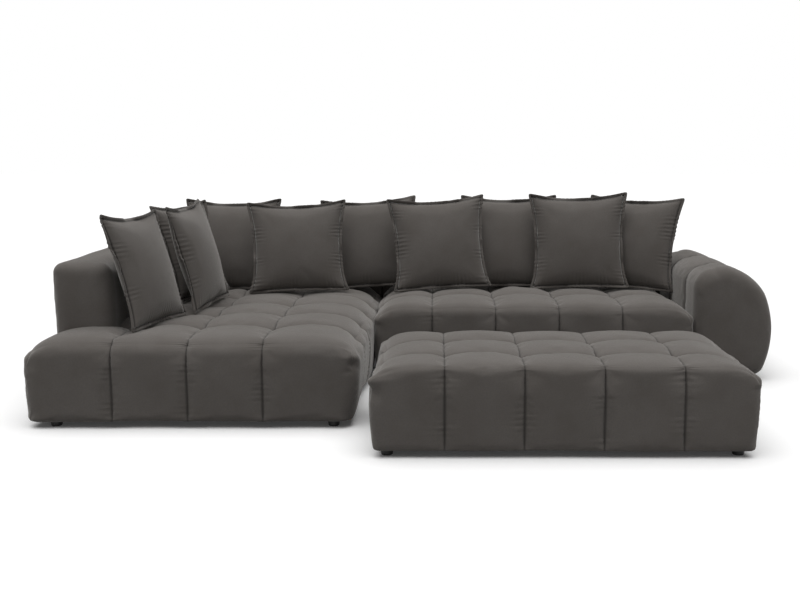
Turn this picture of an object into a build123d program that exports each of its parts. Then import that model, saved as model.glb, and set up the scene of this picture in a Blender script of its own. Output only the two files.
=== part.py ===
"""Left-hand corner sofa in two modules with a matching ottoman and ten flanged loose cushions.

Millimetres, +Z up, the front toward -Y. The origin is on the floor at the centre of the whole set.
"""

from build123d import *
import os
from math import cos, radians, sin

os.makedirs("parts", exist_ok=True)

# overall sizes
SOFA_WIDTH = 3350.0
CHAISE_DEPTH = 1960.0
CHAISE_WIDTH = 1400.0
CHAISE_PROJECTION = 855.0
SEAT_HEIGHT = 400.0
BACK_HEIGHT = 656.0
SIDE_BACK_THICKNESS = 245.0
BACK_THICKNESS = 210.0
SIDE_BACK_SETBACK = 265.0
SIDE_BACK_INSET = 60.0
REAR_BACK_INSET = 50.0
BACK_EDGE_RADIUS = 38.0
ARM_WIDTH = 385.0
ARM_HEIGHT = 565.0
ARM_DEPTH = 905.0
ARM_EDGE_RADIUS = 45.0
ARM_SEAM_PULL = 9.0
MODULE_GAP = 1.0

# biscuit tufting
TUFT_PITCH = 310.0
CHAISE_FIRST_COLUMN = 372.0
SOFA_FIRST_COLUMN = 284.0
CHAISE_FRONT_ROW = 362.0
SOFA_FRONT_ROW = 370.0
SEAM_DIP = 26.0
CORNER_DIP = 50.0
SEAM_INSET = 20.0
EDGE_RADIUS = 85.0
EDGE_DROP = 42.0
BASE_TUCK = 40.0

# ottoman
OTTOMAN_WIDTH = 1462.0
OTTOMAN_DEPTH = 745.0
OTTOMAN_HEIGHT = 392.0
OTTOMAN_AHEAD = 410.0
OTTOMAN_GAP = 51.0
OTTOMAN_PITCH = 298.0
OTTOMAN_ROW = 262.0

# carcass, deck and feet
FOOT_HEIGHT = 25.0
FOOT_TOP_RADIUS = 25.0
FOOT_FLOOR_RADIUS = 22.0
FOOT_INSET = 122.0
OTTOMAN_FOOT_INSET = 66.0
STUD_RADIUS = 4.0
STUD_LENGTH = 56.0
DUST_SHEET = 2.0
RAIL_THICKNESS = 30.0
RAIL_TOP = 130.0
BEARER_WIDTH = 80.0
BEARER_BOTTOM = 60.0
PAD_WALL = 50.0
FOAM_INSET = 110.0
FOAM_TOP_COVER = 80.0
STRAP_WIDTH = 60.0
STRAP_PITCH = 120.0
STRAP_THICKNESS = 2.0
LEDGE_HEIGHT = 300.0
BACK_WALL = 12.0
BACK_FOAM = 36.0
BOARD = 22.0
ARM_PANEL = 18.0
BOLT_RADIUS = 4.0
BOLT_HEAD_RADIUS = 8.0
BOLT_HEAD = 6.0
BOLT_CLEAR = 0.3
FIT = 0.3

# module connectors
TONGUE_WIDTH = 40.0
TONGUE_THICKNESS = 3.0
CLIP_LENGTH = 70.0
CLIP_WALL = 4.0

# loose cushions
CUSHION_SIZE = 500.0
CUSHION_FLANGE = 15.0
CUSHION_THICKNESS = 130.0
CUSHION_DRAWN_IN = 22.0
CUSHION_SETTLE = 0.94
FLANGE_THICKNESS = 5.0
CUSHION_WALL = 4.0
CUSHION_LEAN = 17.0
CUSHION_PLAY = 12.0
CUSHION_ROW_STEP = 132.0

# derived positions
Z0 = FOOT_HEIGHT
X_LEFT = -SOFA_WIDTH / 2
X_RIGHT = SOFA_WIDTH / 2
Y_REAR = (CHAISE_DEPTH + OTTOMAN_AHEAD) / 2
Y_CHAISE = Y_REAR - CHAISE_DEPTH
Y_SOFA = Y_CHAISE + CHAISE_PROJECTION
X_JOIN = X_LEFT + CHAISE_WIDTH
X_ARM = X_RIGHT - ARM_WIDTH
SIDE_X0 = X_LEFT + SIDE_BACK_INSET
SIDE_X1 = SIDE_X0 + SIDE_BACK_THICKNESS
SIDE_Y0 = Y_CHAISE + SIDE_BACK_SETBACK
BACK_Y1 = Y_REAR - REAR_BACK_INSET
BACK_Y0 = BACK_Y1 - BACK_THICKNESS
OTT_X0 = X_JOIN + OTTOMAN_GAP
OTT_X1 = OTT_X0 + OTTOMAN_WIDTH
OTT_Y0 = Y_CHAISE - OTTOMAN_AHEAD
OTT_Y1 = OTT_Y0 + OTTOMAN_DEPTH
DECK = RAIL_TOP + STRAP_THICKNESS


def block(x0, x1, y0, y1, z0, z1):
    """A plain box between six planes."""
    return Pos((x0 + x1) / 2, (y0 + y1) / 2, (z0 + z1) / 2) * Box(x1 - x0, y1 - y0, z1 - z0)


def soft_block(x0, x1, y0, y1, z0, z1, radius):
    """A box with every edge but the bottom ones rounded over."""
    solid = block(x0, x1, y0, y1, z0, z1)
    edges = [e for e in solid.edges() if e.center().Z > z0 + 1]
    return fillet(edges, radius)


def rod(x, y, z0, z1, radius):
    """An upright round bar."""
    return Pos(x, y, (z0 + z1) / 2) * Cylinder(radius, z1 - z0)


def rod_x(x0, x1, y, z, radius):
    """A round bar lying along X."""
    return Pos((x0 + x1) / 2, y, z) * Rot(0, 90, 0) * Cylinder(radius, x1 - x0)


def save(name, shapes):
    """Write one node; a list becomes a group of separate solids."""
    shapes = shapes if isinstance(shapes, list) else [shapes]
    solids = [s for shape in shapes for s in shape.solids()]
    shape = solids[0] if len(solids) == 1 else Compound(children=solids)
    export_step(shape, "parts/" + name + ".step")


def outline(points):
    """A closed wire from tuples: (point) starts, (point,) lines and (via, point) arcs follow."""
    edges = []
    here = Vector(*points[0])
    for step in points[1:]:
        if len(step) == 1:
            there = Vector(*step[0])
            edges.append(Edge.make_line(here, there))
        else:
            there = Vector(*step[1])
            edges.append(Edge.make_three_point_arc(here, Vector(*step[0]), there))
        here = there
    return Face(Wire(edges))


def edge_steps(at, sign, low, shoulder, tuck, radius, up):
    """Bottom tuck, bulging face and rounded shoulder of a padded side, from the bottom upward."""
    foot = (at + sign * tuck, low)
    knee = (at + sign * 9, low + 46)
    hip = (at + sign * 10, shoulder - radius)
    top = (at + sign * radius, shoulder - up)
    a = (at + sign * (9 + (tuck - 9) * 0.27), low + 46 * 0.27)
    b = (at, (knee[1] + hip[1]) / 2)
    c = (at + sign * (10 + (radius - 10) * 0.28), hip[1] + (top[1] - hip[1]) * 0.70)
    return foot, a, knee, b, hip, c, top


def tuft_section(x, y0, y1, rows, crown, sink, drop):
    """YZ outline of the tufted base at one X; sink is 0 along a tuft's middle and 1 on a seam."""
    inset = sink * SEAM_INSET + drop * 0.35
    peak = crown - sink * SEAM_DIP - drop
    valley = crown - SEAM_DIP - sink * (CORNER_DIP - SEAM_DIP) - drop
    front = edge_steps(y0 + inset, 1, Z0, peak, BASE_TUCK, EDGE_RADIUS, 10)
    back = edge_steps(y1 - inset, -1, Z0, peak, BASE_TUCK, EDGE_RADIUS, 10)

    def at(p):
        return (x, p[0], p[1])

    path = [at(front[0]), (at(front[1]), at(front[2])), (at(front[3]), at(front[4])),
            (at(front[5]), at(front[6]))]
    stops = [front[6][0]] + rows + [back[6][0]]
    for k in range(len(stops) - 1):
        mid = (x, (stops[k] + stops[k + 1]) / 2, peak)
        end = (x, stops[k + 1], valley)
        if k == len(stops) - 2:
            end = at(back[6])
        path.append((mid, end))
    path += [(at(back[5]), at(back[4])), (at(back[3]), at(back[2])), (at(back[1]), at(back[0])),
             (at(front[0]),)]
    return outline(path)


def tufted(x0, x1, seams, y0, y1, rows, crown):
    """Outer form of a tufted base: one puffed loft per column, drawn in along every seam."""
    stops = [x0] + seams + [x1]
    solid = None
    for k in range(len(stops) - 1):
        a, b = stops[k], stops[k + 1]
        drop_a = EDGE_DROP if k == 0 else 0
        drop_b = EDGE_DROP if k == len(stops) - 2 else 0
        column = loft([
            tuft_section(a, y0, y1, rows, crown, 1, drop_a),
            tuft_section((a + b) / 2, y0, y1, rows, crown, 0, 0),
            tuft_section(b, y0, y1, rows, crown, 1, drop_b),
        ])
        solid = column if solid is None else solid + column
    # plan outline with one scallop per row on the two ends
    r = 48.0
    lines = [y0 + r] + rows + [y1 - r]
    plan = [(x0 + r, y0 - 2, 0), ((x1 - r, y0 - 2, 0),)]
    plan.append(((x1 - r * 0.29, y0 - 2 + r * 0.29, 0), (x1 - 6, y0 + r, 0)))
    for k in range(len(lines) - 1):
        mid = (x1, (lines[k] + lines[k + 1]) / 2, 0)
        pull = 6 if k == len(lines) - 2 else SEAM_INSET
        plan.append((mid, (x1 - pull, lines[k + 1], 0)))
    plan.append(((x1 - r * 0.29, y1 + 2 - r * 0.29, 0), (x1 - r, y1 + 2, 0)))
    plan.append(((x0 + r, y1 + 2, 0),))
    plan.append(((x0 + r * 0.29, y1 + 2 - r * 0.29, 0), (x0 + 6, y1 - r, 0)))
    for k in range(len(lines) - 1, 0, -1):
        mid = (x0, (lines[k] + lines[k - 1]) / 2, 0)
        pull = 6 if k == 1 else SEAM_INSET
        plan.append((mid, (x0 + pull, lines[k - 1], 0)))
    plan.append(((x0 + r * 0.29, y0 - 2 + r * 0.29, 0), (x0 + r, y0 - 2, 0)))
    sides = Pos(0, 0, -10) * extrude(outline(plan), crown + 40, dir=(0, 0, 1))
    # rounded shoulders along the two ends
    left = edge_steps(x0, 1, Z0, crown + 6, BASE_TUCK, EDGE_RADIUS, 0)
    right = edge_steps(x1, -1, Z0, crown + 6, BASE_TUCK, EDGE_RADIUS, 0)

    def at(p):
        return (p[0], y0 - 20, p[1])

    ends = outline([
        at(left[0]), (at(left[1]), at(left[2])), (at(left[3]), at(left[4])), (at(left[5]), at(left[6])),
        (at(right[6]),), (at(right[5]), at(right[4])), (at(right[3]), at(right[2])),
        (at(right[1]), at(right[0])), (at(left[0]),),
    ])
    return solid & sides & extrude(ends, y1 - y0 + 40, dir=(0, 1, 0))


def even(start, pitch, limit):
    """Stops from start every pitch while they stay under limit."""
    stops = []
    at = start
    while at < limit:
        stops.append(at)
        at += pitch
    return stops


def straps(x0, x1, y0, y1):
    """Elastic webbing laid side by side across the rails."""
    count = max(2, int((y1 - y0) // STRAP_PITCH))
    step = (y1 - y0) / count
    return [block(x0, x1, y0 + (k + 0.5) * step - STRAP_WIDTH / 2, y0 + (k + 0.5) * step + STRAP_WIDTH / 2,
                  RAIL_TOP, DECK) for k in range(count)]


def feet(spots):
    """Tapered round feet with a socket for the stud."""
    made = []
    for x, y in spots:
        cone = Pos(x, y, FOOT_HEIGHT / 2) * Cone(FOOT_FLOOR_RADIUS, FOOT_TOP_RADIUS, FOOT_HEIGHT)
        cone = chamfer(cone.edges().group_by(Axis.Z)[0], 2)
        made.append(cone - rod(x, y, FOOT_HEIGHT - 14, FOOT_HEIGHT + 1, STUD_RADIUS + FIT))
    return made


def studs(spots):
    """Threaded studs that hold the feet."""
    return [rod(x, y, FOOT_HEIGHT - 14 + FIT, FOOT_HEIGHT - 14 + FIT + STUD_LENGTH, STUD_RADIUS) for x, y in spots]


def drilled(shapes, spots, z0, z1):
    """Shapes with upright stud holes at the given spots."""
    made = []
    for shape in shapes:
        box = shape.bounding_box()
        for x, y in spots:
            if box.min.X < x < box.max.X and box.min.Y < y < box.max.Y:
                shape = shape - rod(x, y, z0, z1, STUD_RADIUS + FIT)
        made.append(shape)
    return made


def carcass(x0, x1, y0, y1, cross):
    """Perimeter rails with cross rails at the given X positions."""
    t = RAIL_THICKNESS
    low = Z0 + DUST_SHEET
    rails = [block(x0, x1, y0, y0 + t, low, RAIL_TOP), block(x0, x1, y1 - t, y1, low, RAIL_TOP)]
    for x in [x0 + t / 2, x1 - t / 2] + cross:
        rails.append(block(x - t / 2, x + t / 2, y0 + t, y1 - t, low, RAIL_TOP))
    return rails


STUD_TOP = FOOT_HEIGHT - 14 + FIT + STUD_LENGTH + 1

# chaise module: tufted base
chaise_seams = [X_LEFT + CHAISE_FIRST_COLUMN + k * TUFT_PITCH for k in range(3)]
chaise_rows = even(Y_CHAISE + CHAISE_FRONT_ROW, TUFT_PITCH - 7, Y_REAR - 150)
chaise_x1 = X_JOIN - MODULE_GAP / 2
chaise_form = tufted(X_LEFT, chaise_x1, chaise_seams, Y_CHAISE, Y_REAR, chaise_rows, SEAT_HEIGHT)

cf_x0, cf_x1 = X_LEFT + PAD_WALL, chaise_x1 - PAD_WALL
cf_y0, cf_y1 = Y_CHAISE + PAD_WALL, Y_REAR - PAD_WALL
foam_top = SEAT_HEIGHT - FOAM_TOP_COVER
chaise_foam_box = (SIDE_X1 + 20, chaise_x1 - FOAM_INSET, Y_CHAISE + FOAM_INSET, BACK_Y0 - 20)
side_core = (SIDE_X0 + BACK_WALL + BACK_FOAM, SIDE_X1 - BACK_WALL - BACK_FOAM,
             SIDE_Y0 + BACK_WALL + BACK_FOAM, BACK_Y1 - BACK_WALL - BACK_FOAM)
rear_core_y = (BACK_Y0 + BACK_WALL + BACK_FOAM, BACK_Y1 - BACK_WALL - BACK_FOAM)
chaise_core_x = (SIDE_X1 + BACK_WALL + BACK_FOAM, chaise_x1 - BACK_WALL - BACK_FOAM)

chaise_cover = chaise_form - block(SIDE_X0, SIDE_X1, SIDE_Y0, BACK_Y1, LEDGE_HEIGHT, 900)
chaise_cover -= block(SIDE_X1, chaise_x1 + 5, BACK_Y0, BACK_Y1, LEDGE_HEIGHT, 900)
chaise_cover -= block(cf_x0, cf_x1, cf_y0, cf_y1, Z0 - 1, DECK)
chaise_cover -= block(*chaise_foam_box, DECK - 1, foam_top)
chaise_cover -= block(*side_core, RAIL_TOP, LEDGE_HEIGHT + 1)
chaise_cover -= block(*chaise_core_x, *rear_core_y, RAIL_TOP, LEDGE_HEIGHT + 1)
save("chaise_seat_cover", chaise_cover)
save("chaise_seat_foam", block(*chaise_foam_box, DECK, foam_top))

chaise_feet = [(X_LEFT + FOOT_INSET, cf_y0 + 15), (chaise_x1 - FOOT_INSET, cf_y0 + 15),
               (X_LEFT + FOOT_INSET, cf_y1 - 15), (chaise_x1 - FOOT_INSET, cf_y1 - 15),
               (cf_x0 + 15, (cf_y0 + cf_y1) / 2), (cf_x1 - 15, (cf_y0 + cf_y1) / 2)]
save("chaise_feet", feet(chaise_feet))
save("chaise_foot_studs", studs(chaise_feet))
chaise_sheet = block(cf_x0, cf_x1, cf_y0, cf_y1, Z0, Z0 + DUST_SHEET)
save("chaise_dust_sheet", drilled([chaise_sheet], chaise_feet, 0, STUD_TOP))

t = RAIL_THICKNESS
side_mid = (SIDE_X0 + SIDE_X1) / 2
rear_mid = (BACK_Y0 + BACK_Y1) / 2
seat_rail_x = SIDE_X1 + 20 + t / 2
chaise_rails = carcass(cf_x0, cf_x1, cf_y0, cf_y1, [])
rear_bearer_y0 = rear_mid - BEARER_WIDTH / 2
side_bearer = block(side_mid - BEARER_WIDTH / 2, side_mid + BEARER_WIDTH / 2, cf_y0 + t, cf_y1 - t,
                    BEARER_BOTTOM, RAIL_TOP)
rear_bearer = block(side_mid + BEARER_WIDTH / 2, cf_x1 - t, rear_bearer_y0, rear_bearer_y0 + BEARER_WIDTH,
                    BEARER_BOTTOM, RAIL_TOP)
chaise_cross = [block(x - t / 2, x + t / 2, cf_y0 + t, rear_bearer_y0, Z0 + DUST_SHEET, RAIL_TOP)
                for x in (seat_rail_x, (seat_rail_x + cf_x1) / 2)]
side_bolts = [(side_mid, SIDE_Y0 + 150 + k * (BACK_Y1 - SIDE_Y0 - 300) / 3) for k in range(4)]
chaise_rear_bolts = [(chaise_core_x[0] + 120 + k * (chaise_core_x[1] - chaise_core_x[0] - 240) / 2, rear_mid)
                     for k in range(3)]


def bolt_holes(shape, spots):
    """Upright bolt holes through a bearer or a bottom board."""
    for x, y in spots:
        shape = shape - rod(x, y, BEARER_BOTTOM - 5, RAIL_TOP + BOARD + 30, BOLT_RADIUS + BOLT_CLEAR)
    return shape


def bolts(spots):
    """Hexagon bolts driven up through the bearers into the back frames."""
    made = []
    for x, y in spots:
        head = Pos(x, y, BEARER_BOTTOM - BOLT_HEAD) * extrude(RegularPolygon(BOLT_HEAD_RADIUS, 6), BOLT_HEAD)
        made.append(head + rod(x, y, BEARER_BOTTOM - 1, RAIL_TOP + BOARD, BOLT_RADIUS))
    return made


save("chaise_perimeter_rails", drilled(chaise_rails, chaise_feet, 0, STUD_TOP))
chaise_cross += [bolt_holes(side_bearer, side_bolts), bolt_holes(rear_bearer, chaise_rear_bolts)]
save("chaise_cross_rails", chaise_cross)
save("chaise_webbing", straps(seat_rail_x - t / 2, cf_x1, cf_y0 + 5, rear_bearer_y0 - 30))
save("chaise_back_bolts", bolts(side_bolts + chaise_rear_bolts))


def back_frame(x0, x1, y0, y1, z1, spots, along):
    """Upright ladder frame: bottom and top boards with posts between them."""
    low, high = RAIL_TOP, z1
    made = [bolt_holes(block(x0, x1, y0, y1, low, low + BOARD), spots), block(x0, x1, y0, y1, high - BOARD, high)]
    for k in range(4):
        if along == "x":
            at = x0 + k * (x1 - x0 - BOARD) / 3
            made.append(block(at, at + BOARD, y0, y1, low + BOARD, high - BOARD))
        else:
            at = y0 + k * (y1 - y0 - BOARD) / 3
            made.append(block(x0, x1, at, at + BOARD, low + BOARD, high - BOARD))
    return made


def padded_back(name, x0, x1, y0, y1, spots, along):
    """Back block on the base: timber frame, foam wrap and fitted cover."""
    z1 = BACK_HEIGHT
    wrap = BACK_WALL + BACK_FOAM
    core = (x0 + wrap, x1 - wrap, y0 + wrap, y1 - wrap)
    save(name + "_frame", back_frame(*core, z1 - wrap, spots, along))
    r = BACK_EDGE_RADIUS - BACK_WALL
    w = BACK_WALL
    cover = soft_block(x0, x1, y0, y1, LEDGE_HEIGHT, z1, BACK_EDGE_RADIUS)
    cover -= soft_block(x0 + w, x1 - w, y0 + w, y1 - w, LEDGE_HEIGHT - 1, z1 - w, r)
    w += FIT
    foam = soft_block(x0 + w, x1 - w, y0 + w, y1 - w, LEDGE_HEIGHT, z1 - w, r)
    foam -= block(*core, LEDGE_HEIGHT - 1, z1 - wrap)
    save(name + "_foam", foam)
    save(name + "_cover", cover)
    return cover


side_cover = padded_back("side_back", SIDE_X0, SIDE_X1, SIDE_Y0, BACK_Y1, side_bolts, "y")
padded_back("chaise_rear_back", SIDE_X1, chaise_x1, BACK_Y0, BACK_Y1, chaise_rear_bolts, "x")

# sofa module: tufted base
sofa_x0 = X_JOIN + MODULE_GAP / 2
sofa_seams = [X_JOIN + SOFA_FIRST_COLUMN + k * TUFT_PITCH for k in range(4)]
sofa_rows = even(Y_SOFA + SOFA_FRONT_ROW, TUFT_PITCH, Y_REAR - 150)
sofa_form = tufted(sofa_x0, X_ARM, sofa_seams, Y_SOFA, Y_REAR, sofa_rows, SEAT_HEIGHT)
sf_x0, sf_x1 = sofa_x0 + PAD_WALL, X_ARM - PAD_WALL
sf_y0, sf_y1 = Y_SOFA + PAD_WALL, Y_REAR - PAD_WALL
sofa_foam_box = (sofa_x0 + FOAM_INSET, X_ARM - FOAM_INSET, Y_SOFA + FOAM_INSET, BACK_Y0 - 20)
sofa_core_x = (sofa_x0 + BACK_WALL + BACK_FOAM, X_ARM - BACK_WALL - BACK_FOAM)
sofa_cover = sofa_form - block(sofa_x0 - 5, X_ARM + 5, BACK_Y0, BACK_Y1, LEDGE_HEIGHT, 900)
sofa_cover -= block(sf_x0, sf_x1, sf_y0, sf_y1, Z0 - 1, DECK)
sofa_cover -= block(*sofa_foam_box, DECK - 1, foam_top)
sofa_cover -= block(*sofa_core_x, *rear_core_y, RAIL_TOP, LEDGE_HEIGHT + 1)

arm_x0 = X_ARM + FIT
arm_y1 = Y_SOFA + ARM_DEPTH
arm_in = (arm_x0 + 35, X_RIGHT - 105, Y_SOFA + 65, arm_y1 - 60)
arm_bolt_z = 85.0
arm_bolt_y = [Y_SOFA + 200 + k * (arm_y1 - Y_SOFA - 400) / 2 for k in range(3)]
for y in arm_bolt_y:
    sofa_cover -= rod_x(sf_x1 - 10, X_ARM + 10, y, arm_bolt_z, BOLT_RADIUS + BOLT_CLEAR)
save("sofa_seat_cover", sofa_cover)
save("sofa_seat_foam", block(*sofa_foam_box, DECK, foam_top))

sofa_feet = [(sofa_x0 + FOOT_INSET, sf_y0 + 15), (X_ARM - FOOT_INSET, sf_y0 + 15),
             (sofa_x0 + FOOT_INSET, sf_y1 - 15), (X_ARM - FOOT_INSET, sf_y1 - 15)]
arm_feet = [((arm_in[0] + arm_in[1]) / 2 + 40, y) for y in (arm_in[2] + 110, arm_in[3] - 110)]
save("sofa_feet", feet(sofa_feet + arm_feet))
save("sofa_foot_studs", studs(sofa_feet + arm_feet))
sofa_sheets = [block(sf_x0, sf_x1, sf_y0, sf_y1, Z0, Z0 + DUST_SHEET),
               block(*arm_in, Z0, Z0 + DUST_SHEET)]
save("sofa_dust_sheets", drilled(sofa_sheets, sofa_feet + arm_feet, 0, STUD_TOP))
sofa_rails = drilled(carcass(sf_x0, sf_x1, sf_y0, sf_y1, []), sofa_feet, 0, STUD_TOP)
right_rail = sofa_rails[-1]
for y in arm_bolt_y:
    right_rail = right_rail - rod_x(sf_x1 - t - 10, sf_x1 + 10, y, arm_bolt_z, BOLT_RADIUS + BOLT_CLEAR)
sofa_rails[-1] = right_rail
save("sofa_perimeter_rails", sofa_rails)
sofa_cross = [block(x - t / 2, x + t / 2, sf_y0 + t, rear_bearer_y0, Z0 + DUST_SHEET, RAIL_TOP)
              for x in (sf_x0 + (sf_x1 - sf_x0) / 3, sf_x0 + (sf_x1 - sf_x0) * 2 / 3)]
sofa_bearer = block(sf_x0 + t, sf_x1 - t, rear_bearer_y0, rear_bearer_y0 + BEARER_WIDTH, BEARER_BOTTOM, RAIL_TOP)
sofa_rear_bolts = [(sofa_core_x[0] + 150 + k * (sofa_core_x[1] - sofa_core_x[0] - 300) / 3, rear_mid)
                   for k in range(4)]
save("sofa_cross_rails", sofa_cross + [bolt_holes(sofa_bearer, sofa_rear_bolts)])
save("sofa_webbing", straps(sf_x0, sf_x1, sf_y0 + 5, rear_bearer_y0 - 30))
save("sofa_back_bolts", bolts(sofa_rear_bolts))
padded_back("sofa_rear_back", sofa_x0, X_ARM, BACK_Y0, BACK_Y1, sofa_rear_bolts, "x")


def arm_section(y, g):
    """XZ outline of the bolster arm at one Y, drawn in by g all round."""
    x0, x1, z0, z1 = arm_x0, X_RIGHT, Z0, ARM_HEIGHT

    def at(x, z):
        return (x, y, z)

    return outline([
        at(x0 + g, z0 + g),
        (at(x1 - 95 - 0.3 * g, z0 + g),),
        (at(x1 - 52 - 0.6 * g, z0 + 13 + 0.9 * g), at(x1 - 30 - g, z0 + 45 + 0.6 * g)),
        (at(x1 - g, z0 + 240), at(x1 - 38 - g, z0 + 405)),
        (at(x1 - 92 - 0.8 * g, z1 - 62 - 0.7 * g), at(x1 - 205, z1 - g)),
        (at((x0 + x1) / 2 - 20, z1 + 3 - g), at(x0 + 95 + 0.3 * g, z1 - 4 - g)),
        (at(x0 + 28 + 0.85 * g, z1 - 33 - 0.85 * g), at(x0 + g, z1 - 105 - 0.4 * g)),
        (at(x0 + g, z0 + g),),
    ])


def arm_cap(y, sign):
    """Rounded end of the arm."""
    r = ARM_EDGE_RADIUS
    steps = [radians(a) for a in (0, 30, 60, 90)]
    return loft([arm_section(y + sign * r * (1 - cos(a)), r * (1 - sin(a))) for a in steps])


arm_form = arm_cap(Y_SOFA, 1) + arm_cap(arm_y1, -1)
arm_rows = [Y_SOFA + ARM_EDGE_RADIUS] + sofa_rows[:2] + [arm_y1 - ARM_EDGE_RADIUS]
for k in range(len(arm_rows) - 1):
    a, b = arm_rows[k], arm_rows[k + 1]
    pull_a = 0 if k == 0 else ARM_SEAM_PULL
    pull_b = 0 if k == len(arm_rows) - 2 else ARM_SEAM_PULL
    pull = 0 if pull_a == pull_b else ARM_SEAM_PULL / 4
    arm_form += loft([arm_section(a, pull_a), arm_section((a + b) / 2, pull), arm_section(b, pull_b)])
arm_form = arm_form & block(arm_x0, X_RIGHT + 20, Y_SOFA - 20, arm_y1 + 20, Z0, ARM_HEIGHT + 50)
arm_core_z = ARM_HEIGHT - 110
arm_cover = arm_form - block(*arm_in, Z0 - 1, arm_core_z)
for y in arm_bolt_y:
    arm_cover -= rod_x(arm_x0 - 10, arm_in[0] + 10, y, arm_bolt_z, BOLT_RADIUS + BOLT_CLEAR)
save("arm_cover", arm_cover)
wrap = 40.0
ac = (arm_in[0], arm_in[1] - wrap, arm_in[2] + wrap, arm_in[3] - wrap)
low = Z0 + DUST_SHEET
high = arm_core_z - wrap
save("arm_foam", block(*arm_in, low, arm_core_z) - block(ac[0] - 1, ac[1], ac[2], ac[3], low - 1, high))
p = ARM_PANEL
inner_panel = block(ac[0], ac[0] + p, ac[2], ac[3], low, high)
for y in arm_bolt_y:
    inner_panel -= rod_x(ac[0] - 10, ac[0] + p + 10, y, arm_bolt_z, BOLT_RADIUS + BOLT_CLEAR)
arm_floor = drilled([block(ac[0] + p, ac[1] - p, ac[2], ac[3], low, low + 2 * p)], arm_feet, 0, STUD_TOP)
arm_frame = [inner_panel, block(ac[1] - p, ac[1], ac[2], ac[3], low, high),
             block(ac[0] + p, ac[1] - p, ac[2], ac[3], high - p, high)] + arm_floor
for y in (ac[2], (ac[2] + ac[3] - p) / 2 + 60, ac[3] - p):
    arm_frame.append(block(ac[0] + p, ac[1] - p, y, y + p, low + 2 * p, high - p))
save("arm_frame", arm_frame)
arm_bolts = []
for y in arm_bolt_y:
    head = Pos(ac[0] + p, y, arm_bolt_z) * Rot(0, 90, 0) * extrude(RegularPolygon(BOLT_HEAD_RADIUS, 6), BOLT_HEAD)
    arm_bolts.append(head + rod_x(sf_x1 - t, ac[0] + p + 1, y, arm_bolt_z, BOLT_RADIUS))
save("arm_bolts", arm_bolts)

# connectors under the join between the two modules
clip_y = [Y_SOFA + 230, BACK_Y0 - 130]
clip_x1 = cf_x1 + 5
clip_x0 = clip_x1 - CLIP_LENGTH
clips = []
tongues = []
for y in clip_y:
    half = TONGUE_WIDTH / 2 + FIT + 0.2
    z_top = Z0
    z_in = z_top - 2
    z_low = z_in - TONGUE_THICKNESS - 1.2
    body = block(clip_x0, clip_x1, y - half - CLIP_WALL, y + half + CLIP_WALL, z_low - 2, z_top)
    clips.append(body - block(clip_x0 - 1, clip_x1 + 1, y - half, y + half, z_low, z_in))
    z_t = z_in - 0.6
    tongue = block(clip_x0 + 8, sf_x0 + 60, y - TONGUE_WIDTH / 2, y + TONGUE_WIDTH / 2, z_t - TONGUE_THICKNESS, z_t)
    pad = block(sf_x0 + 5, sf_x0 + 60, y - TONGUE_WIDTH / 2, y + TONGUE_WIDTH / 2, z_t - 0.5, z_top)
    tongues.append(tongue + pad)
save("chaise_connector_clips", clips)
save("sofa_connector_tongues", tongues)

# ottoman
ott_outer = (OTTOMAN_WIDTH - 3 * OTTOMAN_PITCH) / 2
ott_seams = [OTT_X0 + ott_outer + k * OTTOMAN_PITCH for k in range(4)]
ott_rows = [OTT_Y0 + (OTTOMAN_DEPTH - OTTOMAN_ROW) / 2, OTT_Y0 + (OTTOMAN_DEPTH + OTTOMAN_ROW) / 2]
ott_form = tufted(OTT_X0, OTT_X1, ott_seams, OTT_Y0, OTT_Y1, ott_rows, OTTOMAN_HEIGHT)
of_x0, of_x1 = OTT_X0 + PAD_WALL, OTT_X1 - PAD_WALL
of_y0, of_y1 = OTT_Y0 + PAD_WALL, OTT_Y1 - PAD_WALL
ott_foam_box = (OTT_X0 + FOAM_INSET, OTT_X1 - FOAM_INSET, OTT_Y0 + FOAM_INSET, OTT_Y1 - FOAM_INSET)
ott_foam_top = OTTOMAN_HEIGHT - FOAM_TOP_COVER
ott_cover = ott_form - block(of_x0, of_x1, of_y0, of_y1, Z0 - 1, DECK) - block(*ott_foam_box, DECK - 1, ott_foam_top)
save("ottoman_cover", ott_cover)
save("ottoman_foam", block(*ott_foam_box, DECK, ott_foam_top))
ott_feet = [(x, y) for x in (OTT_X0 + OTTOMAN_FOOT_INSET, OTT_X1 - OTTOMAN_FOOT_INSET)
            for y in (of_y0 + 15, of_y1 - 15)]
save("ottoman_feet", feet(ott_feet))
save("ottoman_foot_studs", studs(ott_feet))
save("ottoman_dust_sheet", drilled([block(of_x0, of_x1, of_y0, of_y1, Z0, Z0 + DUST_SHEET)], ott_feet, 0, STUD_TOP))
ott_cross = [of_x0 + (of_x1 - of_x0) / 3, of_x0 + (of_x1 - of_x0) * 2 / 3]
save("ottoman_rails", drilled(carcass(of_x0, of_x1, of_y0, of_y1, ott_cross), ott_feet, 0, STUD_TOP))
save("ottoman_webbing", straps(of_x0, of_x1, of_y0 + 5, of_y1 - 5))

# loose cushions, drawn flat: local X along the bottom edge, local Y up the cushion, local Z out of its face
HALF = CUSHION_SIZE / 2
FULL = HALF + CUSHION_FLANGE
TALL = FULL * CUSHION_SETTLE


def four_arcs(corner, side, z):
    """Outline of four arcs through the corners and the middles of the sides, settled a little lower than wide."""
    c, s = corner, side
    v, t = corner * CUSHION_SETTLE, side * CUSHION_SETTLE
    return outline([(c, v, z), ((0, t, z), (-c, v, z)), ((-s, 0, z), (-c, -v, z)), ((0, -t, z), (c, -v, z)),
                    ((s, 0, z), (c, v, z))])


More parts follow.
